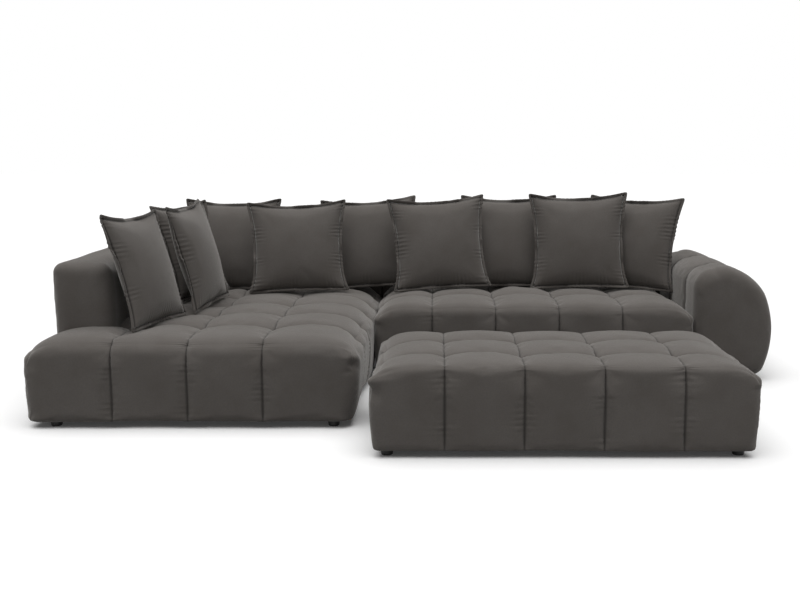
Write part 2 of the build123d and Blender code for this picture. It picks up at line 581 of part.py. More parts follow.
def dome(half, drawn, base, rise):
    """One puffed face of a cushion, from its seam plane up to its crown."""
    levels = [(0, 1, 1 - drawn / half), (0.36, 0.86, 0.865), (0.68, 0.66, 0.715), (0.90, 0.40, 0.48),
              (1, 0.13, 0.17)]
    return loft([four_arcs(half * c, half * s, base + (rise - base) * f) for f, c, s in levels])


def lens(half, drawn, rise):
    """Two domes back to back."""
    top = dome(half, drawn, 0, rise)
    return top + mirror(top, about=Plane.XY)


def flanged_cover():
    """Cushion cover: two puffed faces, a flat flange round them and the hollow for the pad."""
    flat = FLANGE_THICKNESS / 2
    flange = extrude(four_arcs(FULL, HALF - CUSHION_DRAWN_IN + CUSHION_FLANGE, -flat), 2 * flat, dir=(0, 0, 1))
    top = dome(HALF, CUSHION_DRAWN_IN, flat, CUSHION_THICKNESS / 2)
    body = flange + top + mirror(top, about=Plane.XY)
    hollow = lens(HALF - CUSHION_WALL - 3, CUSHION_DRAWN_IN, CUSHION_THICKNESS / 2 - CUSHION_WALL)
    return body - hollow


cushion_cover = flanged_cover()
cushion_pad = lens(HALF - CUSHION_WALL - 3.5, CUSHION_DRAWN_IN, CUSHION_THICKNESS / 2 - CUSHION_WALL - 0.4)


def cushion_axes(turn, lean, roll):
    """Right, up and outward directions of a leaning cushion; turn 0 faces the front, 90 the right."""
    a, b, c = radians(turn), radians(lean), radians(roll)
    face = Vector(sin(a), -cos(a), 0)
    right = Vector(cos(a), sin(a), 0)
    up = Vector(0, 0, cos(b)) - face * sin(b)
    out = face * cos(b) + Vector(0, 0, sin(b))
    return right * cos(c) + up * sin(c), up * cos(c) - right * sin(c), out


def rest_height(seats, right, up, out, x, y):
    """Height of the bottom middle at which the flange just clears the seat below it."""
    best = -1000.0
    flat = FLANGE_THICKNESS / 2
    drawn = CUSHION_DRAWN_IN
    spots = [(FULL * k / 28, drawn * CUSHION_SETTLE * (1 - (k / 28) ** 2) - TALL) for k in range(-28, 29)]
    spots += [(side * (FULL - drawn * 0.4375), -0.75 * TALL) for side in (-1, 1)]
    for u, v in spots:
        for w in (-flat, flat):
            at = right * u + up * (v + TALL) + out * w
            line = Axis((x + at.X, y + at.Y, 2000), (0, 0, -1))
            for seat in seats:
                for point, _ in seat.find_intersection_points(line):
                    best = max(best, point.Z - at.Z)
    return best + FIT


lean_back = TALL * sin(radians(CUSHION_LEAN)) + CUSHION_THICKNESS / 2 * cos(radians(CUSHION_LEAN)) + CUSHION_PLAY
row_y = BACK_Y0 - lean_back
side_x = SIDE_X1 + lean_back
front_y = row_y - CUSHION_ROW_STEP
step = CUSHION_ROW_STEP
seat_span = X_ARM - X_JOIN
chaise_top = chaise_form.solids()[0]
sofa_top = sofa_form.solids()[0]
cushions = [
    ("side_cushion_front", [chaise_top], side_x + 30, SIDE_Y0 + 178, 79, 16.5, -1),
    ("side_cushion_middle", [chaise_top], side_x + step + 22, SIDE_Y0 + 688, 84, 15, 1.5),
    ("side_cushion_rear", [chaise_top], side_x + 52, SIDE_Y0 + 977, 72.5, 17, 0),
    ("back_cushion_corner", [chaise_top], SIDE_X1 + FULL + 16, row_y, 0, CUSHION_LEAN, 0),
    ("front_cushion_corner", [chaise_top], X_JOIN - 431, front_y - 60, 5, 18, 0),
    ("back_cushion_left", [chaise_top, sofa_top], X_JOIN - 52, row_y, 0, CUSHION_LEAN, 3.6),
    ("front_cushion_left", [chaise_top, sofa_top], X_JOIN + 0.218 * seat_span, front_y - 20, 6, 17.5, 2.5),
    ("back_cushion_middle", [sofa_top], X_JOIN + 0.452 * seat_span, row_y, 0, CUSHION_LEAN, 0),
    ("front_cushion_right", [sofa_top], X_JOIN + 0.685 * seat_span, front_y + 2, -5, 15, 1.4),
    ("back_cushion_right", [sofa_top], X_ARM - FULL + 18, row_y - 63, -29, 16, -1.5),
]
for name, seats, x, y, turn, lean, roll in cushions:
    right, up, out = cushion_axes(turn, lean, roll)
    z = rest_height(seats, right, up, out, x, y)
    centre = Vector(x, y, z) + up * TALL
    place = Plane(origin=centre, x_dir=right, z_dir=out).location
    save(name + "_cover", place * cushion_cover)
    save(name + "_pad", place * cushion_pad)
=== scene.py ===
"""Looks of the corner sofa: tufted seats, padded backs, bolster arm, ottoman and loose flanged cushions."""

import math
from collections import namedtuple

import bpy
import numpy as np
from bpy.props import FloatProperty, FloatVectorProperty, IntProperty, PointerProperty
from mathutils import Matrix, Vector
from mathutils.bvhtree import BVHTree


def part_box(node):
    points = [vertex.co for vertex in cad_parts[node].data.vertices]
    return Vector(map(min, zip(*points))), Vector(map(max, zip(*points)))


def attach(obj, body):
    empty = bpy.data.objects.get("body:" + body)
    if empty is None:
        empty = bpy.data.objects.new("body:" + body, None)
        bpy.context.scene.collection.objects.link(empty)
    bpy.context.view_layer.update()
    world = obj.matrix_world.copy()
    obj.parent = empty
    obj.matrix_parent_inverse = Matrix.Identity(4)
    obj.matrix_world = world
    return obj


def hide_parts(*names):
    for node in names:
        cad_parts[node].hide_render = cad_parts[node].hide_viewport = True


bl_info = {
    "name": "Tufted corner sofa",
    "version": (1, 0, 0),
    "blender": (4, 5, 0),
    "location": "View3D > Sidebar > Sofa",
    "description": "Upholstery, stitching, feet and studio of a tufted corner sofa with ottoman",
    "category": "Object",
}

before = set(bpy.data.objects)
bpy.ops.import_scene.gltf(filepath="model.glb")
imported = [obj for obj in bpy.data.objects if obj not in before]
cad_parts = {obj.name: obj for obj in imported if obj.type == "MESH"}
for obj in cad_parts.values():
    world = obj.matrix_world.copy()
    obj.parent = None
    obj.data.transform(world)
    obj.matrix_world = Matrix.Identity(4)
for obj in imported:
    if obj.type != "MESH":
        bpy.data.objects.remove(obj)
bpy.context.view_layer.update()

# where the tufting seams run, in metres from the left and front edges of each base
CHAISE_COLUMNS = (0.372, 0.682, 0.992)
CHAISE_ROWS = (0.362, 0.665, 0.968, 1.271, 1.574)
SOFA_COLUMNS = (0.284, 0.594, 0.904, 1.214)
SOFA_ROWS = (0.370, 0.680)
ARM_ROWS = (0.268, 0.610)
OTTOMAN_COLUMNS = (0.284, 0.582, 0.880, 1.178)
OTTOMAN_ROWS = (0.2415, 0.5035)

# how each base is shaped: rounding along x, y and z at its bottom and top edges; sag of the whole top, and
# of its crowns alone (flat); depth of its seams and drop of its ends as shares of the common sizes; lean of
# its right end; waist of its left end; and the ears of its front left, front right and two rear corners, as
# shares too
BASE_FORMS = {
    "chaise": {
        "bottom": (0.070, 0.050, 0.013), "top": (0.110, 0.080, 0.088), "sag": 0.0, "flat": 0.014,
        "depth": 1.15, "drop": 1.2, "lean": 0.026, "waist": 0.0, "ears": (0.0, 1.2, 0.3, 0.3)},
    "sofa": {
        "bottom": (0.034, 0.026, 0.030), "top": (0.100, 0.062, 0.066), "sag": 0.0, "flat": 0.002,
        "depth": 1.0, "drop": 1.0, "lean": 0.0, "waist": 0.0, "ears": (0.6, 0.3, 0.2, 0.2)},
    "ottoman": {
        "bottom": (0.028, 0.018, 0.016), "top": (0.100, 0.042, 0.042), "sag": 0.008, "flat": 0.014,
        "depth": 1.15, "drop": 1.0, "lean": 0.0, "waist": 0.018, "ears": (1.1, 0.1, 0.2, 0.2)},
}
SEATS = ("chaise_tufted_seat", "sofa_tufted_seat")

# grid spacing of the covers, how far its lines crowd toward the seams, and the rows of cloth that are turned
# in underneath
TUFT_GRID = 0.0125
SIDE_GRID = 0.0075
PAD_GRID = 0.016
TUFT_EASE = 0.78
PAD_EASE = 0.3
UNDER_INSETS = (0.056, 0.042, 0.022)

# reaches of the shaping on a tufted base, in metres
SEAM_RUN = 0.15  # how far down the sides the deep seams of the top run on
CREASE = 0.0045  # half width of the sharp crease in a side seam
CROWN_RUN = 0.10  # how far down the crowns are lowered
TIGHT_RUN = 0.040  # height over which the seams run out above the bottom edge
FALL_RUN = 0.25  # how far in from the edges the top starts to fall
TUCK_HEIGHT = 0.24  # how high above the bottom edge the ends draw in
TUCK_RUN = 0.10  # how far in from the ends that is felt
LEAN_RUN = 0.20  # how far in from an end its lean and its waist are felt
LEAN_DEPTH = 0.80  # how far behind the front the lean has gone
LEAN_FADE = 0.30  # length over which it goes
WAIST_START = 0.070  # how far behind the front corner the waist sets in
EAR_DROP = 0.026  # how far an ear stands below the fallen edge of the top
EAR_SPREAD = 0.040  # how far along the edges an ear reaches
EAR_SIZE = 0.030  # half height of an ear
EAR_HOLLOW = (0.055, 0.032)  # how far below an ear its hollow lies, and half the height of that
SEAM_SHADE = 0.0038  # half width of the painted shade line in a seam

# the bolster arm: rounding of its ends, how far they shrink and bulge, how far its seams are drawn in and
# how far its top has settled
ARM_ROUND = 0.066
ARM_SHRINK = 0.27
ARM_BULGE = 0.006
ARM_PINCH = 0.014
ARM_SINK = 0.016

# the back blocks: rounding at the bottom and top edges, and the extra length that is cut off at a flat end
BACK_ROUND = (0.038, 0.038, 0.012), (0.038, 0.038, 0.040)
BACK_SPARE = 0.028

# how the covers behave as cloth while they swell
CLOTH = {
    "quality": 4, "mass": 0.3, "air_damping": 3.0,
    "tension_stiffness": 25, "compression_stiffness": 12, "shear_stiffness": 8, "bending_stiffness": 1.2,
    "tension_damping": 15, "compression_damping": 15, "shear_damping": 15, "bending_damping": 1.0,
    "pin_stiffness": 1.0, "use_pressure": True,
}

# the loose cushions: dome of a panel before it is filled, power of its crown, share of the simulated filling
# in that crown, how far the flange may wave, one layer of the flange, and half widths of the painted shade
# line along its seam and of the dent in the seat
START_DOME = 0.020
CROWN_POWER = 0.55
FILL_SHARE = 0.25
FLANGE_WAVE = 0.010
FLANGE_LAYER = 0.0026
FLANGE_SHADE = 0.0036
DENT_WIDTH = 0.060

# turn, lean and roll in degrees of every loose cushion, its shift to the right and how much taller it stands
CUSHION_POSES = {
    "side_cushion_front": (79, 16.5, -1, -0.004, 0.014),
    "side_cushion_middle": (84, 15, 1.5, -0.004, 0.018),
    "side_cushion_rear": (72.5, 17, 0, 0.0, 0.0),
    "back_cushion_corner": (0, 17, 0, -0.008, 0.016),
    "front_cushion_corner": (5, 18, 1.6, 0.0, -0.004),
    "back_cushion_left": (0, 17, 3.6, 0.008, 0.008),
    "front_cushion_left": (6, 17.5, 3.1, -0.003, 0.009),
    "back_cushion_middle": (0, 17, 0, 0.0, 0.020),
    "front_cushion_right": (-5, 15, 1.4, 0.002, 0.022),
    "back_cushion_right": (-29, 16, -0.5, 0.011, 0.014),
}

# length, width and height of one stitch and of one staple, the staples' pitch and their distance from the
# edge of the dust sheet, and the sheet's grid and half the width of the hole that it has round a stud
STITCH = (0.0044, 0.0009, 0.0007)
STAPLE = (0.011, 0.0012, 0.0008)
STAPLE_PITCH = 0.07
STAPLE_INSET = 0.010
SHEET_GRID = 0.030
STUD_HOLE = 0.009

# the studio: half width of the floor, the share of light that it throws back, its own glow, and the fill of
# the world
FLOOR_REACH = 30.0
FLOOR_BOUNCE = 0.30
FLOOR_GLOW = 0.035
WORLD_FILL = 0.15

# where the points of a base lie: its box, their places along x and y, and how far they are from the nearer
# end and from the nearer of front and rear
Spread = namedtuple("Spread", "low high x y end_gap face_gap")


class SofaFabric(bpy.types.PropertyGroup):
    """Cloth of the covers."""

    colour: FloatVectorProperty(
        name="Cloth colour", description="Colour of the pile seen straight on",
        subtype="COLOR", size=3, min=0, max=1, default=(0.113, 0.102, 0.093))
    nap: FloatVectorProperty(
        name="Brushed colour", description="Colour where the pile is brushed the other way",
        subtype="COLOR", size=3, min=0, max=1, default=(0.131, 0.120, 0.111))
    sheen: FloatProperty(
        name="Sheen", description="Soft light along the edge of the pile", min=0, max=1, default=0.50)
    thread: FloatVectorProperty(
        name="Thread colour", description="Colour of the seam thread",
        subtype="COLOR", size=3, min=0, max=1, default=(0.028, 0.026, 0.024))


class SofaTufting(bpy.types.PropertyGroup):
    """Biscuit tufting of the seats and the ottoman."""

    dip: FloatProperty(
        name="Seam depth on top", description="How far a seam lies below the crown of its tufts",
        unit="LENGTH", min=0, default=0.032)
    side_dip: FloatProperty(
        name="Seam depth on the sides", description="How far a seam is drawn into the front and sides",
        unit="LENGTH", min=0, default=0.014)
    end_drop: FloatProperty(
        name="End drop", description="How far the top falls toward the two ends",
        unit="LENGTH", min=0, default=0.050)
    front_drop: FloatProperty(
        name="Front drop", description="How far the top falls toward the front and rear",
        unit="LENGTH", min=0, default=0.014)
    ear: FloatProperty(
        name="Corner ear", description="How far a gathered corner stands out",
        unit="LENGTH", min=0, default=0.014)
    tuck: FloatProperty(
        name="Bottom tuck", description="How far the ends draw in toward the bottom edge",
        unit="LENGTH", min=0, default=0.016)
    pucker: FloatProperty(
        name="Pucker height", description="Height of the gathers along a seam",
        unit="LENGTH", min=0, default=0.0026)
    pucker_pitch: FloatProperty(
        name="Pucker pitch", description="Distance from one gather to the next",
        unit="LENGTH", min=0.005, default=0.023)
    swell: FloatProperty(
        name="Swell limit", description="Furthest that the stuffing may push a cover out",
        unit="LENGTH", min=0, default=0.012)


class SofaCushions(bpy.types.PropertyGroup):
    """Loose cushions."""

    side: FloatProperty(
        name="Width", description="Width of a cushion with its flange, from ear to ear",
        unit="LENGTH", min=0.1, default=0.540)
    settle: FloatProperty(
        name="Settled height", description="Height of a standing cushion as a share of its width",
        subtype="FACTOR", min=0.5, max=1, default=0.94)
    flange: FloatProperty(
        name="Flange width", description="Width of the flat border outside the seam",
        unit="LENGTH", min=0.005, default=0.016)
    thickness: FloatProperty(
        name="Thickness", description="Thickness of a filled cushion at its middle",
        unit="LENGTH", min=0.02, default=0.138)
    dip: FloatProperty(
        name="Top dip", description="How far the upper edge sinks between its two ears",
        unit="LENGTH", min=0, default=0.032)
    drawn: FloatProperty(
        name="Drawn sides", description="How far each side pulls in between its corners",
        unit="LENGTH", min=0, default=0.036)
    arch: FloatProperty(
        name="Lower edge", description="How far the lower edge lifts off the seat at its middle",
        unit="LENGTH", min=0, default=0.010)
    press: FloatProperty(
        name="Dent in the seat", description="How far a standing cushion presses the seat down",
        unit="LENGTH", min=0, default=0.018)
    gather: FloatProperty(
        name="Gather height", description="Height of the puckers along the flange seam",
        unit="LENGTH", min=0, default=0.0022)
    stitch: FloatProperty(
        name="Stitch pitch", description="Distance from one stitch to the next",
        unit="LENGTH", min=0.002, default=0.0065)
    grid: IntProperty(
        name="Grid", description="Mesh lines along one side of a panel", min=12, default=42)


class SofaStage(bpy.types.PropertyGroup):
    """Floor, light and camera."""

    floor: FloatVectorProperty(
        name="Floor colour", description="Colour of the floor",
        subtype="COLOR", size=3, min=0, max=1, default=(1.0, 1.0, 1.0))
    lens: FloatProperty(name="Lens", description="Focal length in millimetres", min=10, default=47.83)
    eye: FloatVectorProperty(
        name="Camera place", description="Where the camera stands", subtype="XYZ", unit="LENGTH",
        size=3, default=(0.027, -5.014, 1.184))
    pitch: FloatProperty(
        name="Camera pitch", description="Downward tilt in degrees", default=8.668)
    shift: FloatProperty(
        name="Camera shift", description="Sideways shift of the frame", default=-0.0447)


# mesh helpers

def add_piece(name, points, faces):
    """A new smooth mesh object at the origin."""
    mesh = bpy.data.meshes.new(name)
    mesh.from_pydata([tuple(p) for p in points], [], [tuple(int(i) for i in f) for f in faces])
    mesh.validate()
    mesh.shade_smooth()
    piece = bpy.data.objects.new(name, mesh)
    bpy.context.scene.collection.objects.link(piece)
    return piece


def read_points(mesh):
    """Vertex places as an array."""
    flat = np.zeros(len(mesh.vertices) * 3)
    mesh.vertices.foreach_get("co", flat)
    return flat.reshape(-1, 3)


def write_points(mesh, points):
    """Move the vertices to new places."""
    mesh.vertices.foreach_set("co", np.ascontiguousarray(points, np.float32).ravel())
    mesh.update()


def read_normals(mesh):
    """Outward directions at the vertices."""
    flat = np.zeros(len(mesh.vertices) * 3)
    mesh.vertex_normals.foreach_get("vector", flat)
    return flat.reshape(-1, 3)


def stand_off(mesh, heights):
    """Move every vertex out along its normal by its height."""
    write_points(mesh, read_points(mesh) + read_normals(mesh) * heights[:, None])


def paint(mesh, name, values):
    """Keep one number per vertex for the materials."""
    layer = mesh.attributes.new(name, "FLOAT", "POINT")
    layer.data.foreach_set("value", np.asarray(values, np.float32))


def read_paint(mesh, name):
    """The numbers kept under that name, one per vertex."""
    values = np.zeros(len(mesh.vertices))
    mesh.attributes[name].data.foreach_get("value", values)
    return values


def graded(stops, spacing, ease=0.5):
    """Grid lines through every stop, closer together near the stops."""
    lines = [stops[0]]
    for a, b in zip(stops, stops[1:]):
        count = max(2, round((b - a) / spacing))
        u = np.arange(1, count + 1) / count
        lines.extend(a + (b - a) * (u - ease * np.sin(2 * np.pi * u) / (2 * np.pi)))
    return np.array(lines)


def ripple(points, size, seed):
    """Smooth seeded unevenness of about that size in space, roughly from -1 to 1."""
    rng = np.random.default_rng(seed)
    total = np.zeros(len(points))
    waves = 9
    for _ in range(waves):
        direction = rng.normal(size=3)
        direction /= np.linalg.norm(direction)
        pitch = size * rng.uniform(0.7, 1.6)
        total += np.sin(points @ direction * 2 * np.pi / pitch + rng.uniform(0, 2 * np.pi))
    return total / math.sqrt(waves)


def panel_quads(sheet):
    """Quads between the rows and columns of a sheet of vertex numbers."""
    ring = [sheet[:-1, :-1], sheet[1:, :-1], sheet[1:, 1:], sheet[:-1, 1:]]
    return np.stack(ring, -1).reshape(-1, 4)


def box_shell(nx, ny, nz):
    """Lattice addresses and outward quads of a box without its bottom, welded along the edges."""
    shown = np.zeros((nx, ny, nz), bool)
    shown[[0, -1]] = True
    shown[:, [0, -1]] = True
    shown[:, :, -1] = True
    number = np.full((nx, ny, nz), -1)
    number[shown] = np.arange(shown.sum())
    top, front, rear, left, right = number[:, :, -1], number[:, 0], number[:, -1], number[0], number[-1]
    faces = [panel_quads(top), panel_quads(front), panel_quads(rear)[:, ::-1],
             panel_quads(left)[:, ::-1], panel_quads(right)]
    return np.argwhere(shown), np.concatenate(faces)


def smooth(values):
    """Ease from 0 to 1."""
    share = np.clip(values, 0, 1)
    return share ** 2 * (3 - 2 * share)


def near_edge(gap, reach):
    """1 at an edge, falling evenly to 0 at that reach."""
    return np.clip(1 - gap / reach, 0, 1)


def bell(offset, width):
    """1 at no offset, dying away over that width."""
    return np.exp(-(offset / width) ** 2)


def rounded(points, low, high, bottom, top):
    """Points of a box moved on to its rounded form, and the outward directions there.

    bottom and top give how far the rounding reaches along x, y and z at those edges.
    """
    share = smooth(1 - (high[2] - points[:, 2]) / (1.9 * top[2]))
    reach = np.array(bottom) + (np.array(top) - np.array(bottom)) * share[:, None]
    reach[:, 2] = np.where(points[:, 2] > (low[2] + high[2]) / 2, top[2], bottom[2])
    core = np.clip(points, low + reach, high - reach)
    turn = (points - core) / reach
    turn /= np.maximum(np.linalg.norm(turn, axis=1, keepdims=True), 1e-9)
    out = turn / reach
    return core + reach * turn, out / np.linalg.norm(out, axis=1, keepdims=True)


def soft_shell(low, high, xs, ys, zs):
    """Box lattice with the cloth turned in under the bottom edge: places, addresses, quads."""
    under = len(UNDER_INSETS)
    address, faces = box_shell(len(xs), len(ys), len(zs) + under)
    i, j, k = address.T
    places = np.stack([xs[i], ys[j], zs[np.maximum(k - under, 0)]], 1)
    middle = (low + high) / 2
    half = (high - low) / 2
    for row, inset in enumerate(UNDER_INSETS):
        here = k == row
        for axis in (0, 1):
            scale = 1 - inset / half[axis]
            places[here, axis] = middle[axis] + (places[here, axis] - middle[axis]) * scale
    return places, address, faces


def inflate(piece, held, pressure, frames, limit=None, spare=0.0, loose=None):
    """Swell a cover as cloth that is held at its seams, moving no point further than the limit."""
    before = read_points(piece.data)
    sewn = piece.vertex_groups.new(name="sewn")
    for weight in np.unique(held[held > 0]):
        sewn.add(np.flatnonzero(held == weight).tolist(), float(weight), "REPLACE")
    cloth = piece.modifiers.new("Swell", "CLOTH")
    settings = cloth.settings
    for key, value in CLOTH.items():
        setattr(settings, key, value)
    settings.vertex_group_mass = "sewn"
    settings.shrink_min = -spare
    settings.uniform_pressure_force = pressure
    settings.effector_weights.gravity = 0
    if loose is not None:
        puffed = piece.vertex_groups.new(name="puffed")
        puffed.add(np.flatnonzero(loose).tolist(), 1.0, "REPLACE")
        settings.vertex_group_pressure = "puffed"
    cloth.collision_settings.use_collision = False
    cloth.collision_settings.use_self_collision = False
    cloth.point_cache.frame_start = 1
    cloth.point_cache.frame_end = frames
    scene = bpy.context.scene
    for number in range(1, frames + 1):
        scene.frame_set(number)
    swollen = piece.evaluated_get(bpy.context.evaluated_depsgraph_get())
    after = read_points(swollen.data)
    piece.modifiers.remove(cloth)
    piece.vertex_groups.clear()
    scene.frame_set(1)
    move = after - before
    if limit is not None:
        length = np.maximum(np.linalg.norm(move, axis=1, keepdims=True), 1e-9)
        cap = np.broadcast_to(limit, len(move))[:, None]
        move *= cap * np.tanh(length / cap) / length
    write_points(piece.data, before + move)


# tufted bases

def biscuit(places, seams, low, high):
    """0 on a seam and 1 along the middle of a tuft; the outer half of an end tuft stays at 1."""
    stops = np.array([low, *seams, high])
    last = len(stops) - 2
    k = np.clip(np.searchsorted(stops, places, side="right") - 1, 0, last)
    u = (places - stops[k]) / (stops[k + 1] - stops[k])
    u = np.where(k == 0, np.maximum(u, 0.5), u)
    u = np.where(k == last, np.minimum(u, 0.5), u)
    return (1 - np.abs(2 * u - 1) ** 2.2) ** 0.62


def nearest_seam(places, seams):
    """Signed distance to the nearest seam and which seam that is."""
    gaps = places[:, None] - np.array(seams)[None]
    which = np.abs(gaps).argmin(1)
    return gaps[np.arange(len(places)), which], which


def gathers(distance, along, which, pitch, seed, reach=0.013):
    """Wavy height of the puckers beside a seam, strongest a finger's width from it."""
    beside = np.abs(distance) / reach
    swing = beside * np.exp(1 - beside)
    rng = np.random.default_rng(seed)
    offsets = rng.uniform(0, 2 * np.pi, (int(which.max()) + 1, 4))[which]
    drift = 1.4 * np.sin(along / (pitch * 3.7) + offsets[:, 0])
    drift += 1.1 * np.sin(along / (pitch * 1.9) + offsets[:, 1])
    wave = np.sin(2 * np.pi * along / pitch + drift + offsets[:, 2])
    strength = np.clip(0.35 + 0.75 * np.sin(along / (pitch * 1.3) + offsets[:, 3] + 0.6 * drift), 0, 1)
    left = np.where(distance < 0, 1.0, 0.55)
    return swing * wave * strength * left


def fall_to_edges(places, spread, form, tufting):
    """Lower the top toward its ends, front and rear."""
    low, high = spread.low, spread.high
    end_fall = form["drop"] * tufting.end_drop * near_edge(spread.end_gap, FALL_RUN) ** 2
    face_fall = tufting.front_drop * near_edge(spread.face_gap, FALL_RUN) ** 2
    fall = np.cbrt(end_fall ** 3 + face_fall ** 3)
    height = np.clip((places[:, 2] - low[2]) / (high[2] - low[2]), 0, 1)
    places[:, 2] -= fall * height ** 2


def draw_in_ends(places, spread, form, tufting):
    """Draw both ends in toward the bottom edge, lean the right one and give the left one its waist."""
    low, high, x, y = spread.low, spread.high, spread.x, spread.y
    middle = (low[0] + high[0]) / 2
    low_down = near_edge(places[:, 2] - low[2], TUCK_HEIGHT) ** 2.2
    tucked = tufting.tuck * low_down * near_edge(spread.end_gap, TUCK_RUN)
    beside = near_edge(spread.end_gap, LEAN_RUN)
    lean = np.where(x > middle, form["lean"] * (0.35 + 0.65 * low_down) * beside, 0)
    lean *= np.clip((low[1] + LEAN_DEPTH - y) / LEAN_FADE, 0, 1)
    raised = smooth((places[:, 2] - low[2]) / (high[2] - low[2]) * 2 - 0.9)
    waist = np.where(x < middle, form["waist"] * raised * beside, 0)
    waist *= 1 - bell(y - low[1], WAIST_START)
    places[:, 0] -= np.sign(x - middle) * (tucked + lean + waist)


def stand_out_corners(places, spread, form, tufting):
    """Let the gathered corners stand out at shoulder height, with a hollow below each."""
    middle = (spread.low + spread.high) / 2
    right, behind = spread.x - middle[0], spread.y - middle[1]
    ear_height = spread.high[2] - EAR_DROP - form["drop"] * tufting.end_drop
    standing = np.array(form["ears"])[(right > 0) + 2 * (behind > 0)]
    near = bell(np.hypot(spread.end_gap, spread.face_gap), EAR_SPREAD)
    level = bell(places[:, 2] - ear_height, EAR_SIZE)
    hollow = bell(places[:, 2] - ear_height + EAR_HOLLOW[0], EAR_HOLLOW[1])
    reach = tufting.ear * standing * near * (level - 0.45 * hollow)
    places[:, 0] += np.sign(right) * reach
    places[:, 1] += np.sign(behind) * reach


def tufted_base(name, body, nodes, columns, rows, form, tufting, seed):
    """One tufted base: rounded box, puffed between its seams, gathered along them and at its corners."""
    low, high = (np.array(corner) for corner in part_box(nodes[0]))
    high[2] -= form["sag"]
    column_seams = [low[0] + s for s in columns]
    row_seams = [low[1] + s for s in rows]
    xs = graded([low[0], *column_seams, high[0]], TUFT_GRID, TUFT_EASE)
    ys = graded([low[1], *row_seams, high[1]], TUFT_GRID, TUFT_EASE)
    zs = graded([low[2], high[2]], SIDE_GRID, 0)
    flat, address, faces = soft_shell(low, high, xs, ys, zs)
    i, j, k = address.T
    under = len(UNDER_INSETS)
    # the address gives the seam coordinates, so the turned-in cloth follows its own panel
    x, y = xs[i], ys[j]
    end_gap = np.minimum(x - low[0], high[0] - x)
    face_gap = np.minimum(y - low[1], high[1] - y)
    spread = Spread(low, high, x, y, end_gap, face_gap)
    places, out = rounded(flat, low, high, form["bottom"], form["top"])

    on_end = (i == 0) | (i == len(xs) - 1)
    on_face = (j == 0) | (j == len(ys) - 1)
    on_top = k == len(zs) + under - 1
    crosses_columns = ~on_end | on_top
    crosses_rows = ~on_face | on_top
    column_gap, column = nearest_seam(x, column_seams)
    row_gap, row = nearest_seam(y, row_seams)
    upward = np.clip(out[:, 2], 0, 1) ** 2
    upper = smooth(1 - (high[2] - flat[:, 2]) / SEAM_RUN)
    sunk = np.zeros(len(places))
    puff = np.ones(len(places))
    for at, gap, seams, axis, crossed in ((x, column_gap, column_seams, 0, crosses_columns),
                                          (y, row_gap, row_seams, 1, crosses_rows)):
        swell = biscuit(at, seams, low[axis], high[axis])
        crease = 0.70 * np.exp(-np.abs(gap) / CREASE) + 0.30 * (1 - swell)
        drawn = tufting.side_dip * crease * (1 - upper) + form["depth"] * tufting.dip * (1 - swell) * upper
        sunk += np.where(crossed, drawn, 0.0)
        puff *= np.where(crossed, swell, 1.0)
    # the seams run out flat under the bottom edge, where the cloth is drawn tight round the rails
    rise = np.clip((places[:, 2] - low[2]) / TIGHT_RUN, 0, 1)
    tight = rise ** 0.6 * np.clip(1 + 1.2 * out[:, 2], 0, 1)
    # the cover starts smaller by what the stuffing will push it out
    room = tufting.swell * (0.35 + 0.65 * upward)
    places = places - out * ((sunk + 0.7 * room * puff) * tight)[:, None]
    places[:, 2] -= form["flat"] * puff * smooth(1 - (high[2] - places[:, 2]) / CROWN_RUN)
    fall_to_edges(places, spread, form, tufting)
    draw_in_ends(places, spread, form, tufting)
    stand_out_corners(places, spread, form, tufting)
    places += out * (0.0022 * ripple(flat, 0.32, seed))[:, None]
    piece = add_piece(name, places, faces)

    on_column = (np.abs(column_gap) < 1e-6) & crosses_columns
    on_row = (np.abs(row_gap) < 1e-6) & crosses_rows
    held = np.where(on_column | on_row | (k <= under), 1.0, 0.0)
    inflate(piece, held, pressure=3.0, frames=9, limit=room, spare=0.012)

    # gathers along the seams, standing off the swollen cloth
    depth, width, tall = high[1] - low[1], high[0] - low[0], high[2] - flat[:, 2]
    column_along = np.where(on_top, y - low[1], np.where(j == 0, -tall, depth + tall))
    row_along = np.where(on_top, x - low[0], np.where(i == 0, -tall, width + tall))
    pitch = tufting.pucker_pitch
    waves = np.where(crosses_columns, gathers(column_gap, column_along, column, pitch, seed + 1), 0)
    waves = waves + np.where(crosses_rows, gathers(row_gap, row_along, row, pitch, seed + 2), 0)
    strength = tufting.pucker * (1 - 0.55 * upward) * tight
    stand_off(piece.data, strength * waves)
    # painted shade: the cloth is coloured darker along every seam, where shade falls in the crease
    seam_near = np.minimum(np.where(crosses_columns, np.abs(column_gap), 1.0),
                           np.where(crosses_rows, np.abs(row_gap), 1.0))
    paint(piece.data, "seam", bell(seam_near, SEAM_SHADE))
    dress(piece, body, nodes)


def dress(piece, body, nodes):
    """Give a cover its cloth and hang it on its body in place of the CAD solids."""
    piece.data.materials.append(upholstery())
    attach(piece, body)
    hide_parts(*nodes)


# padded backs and arm

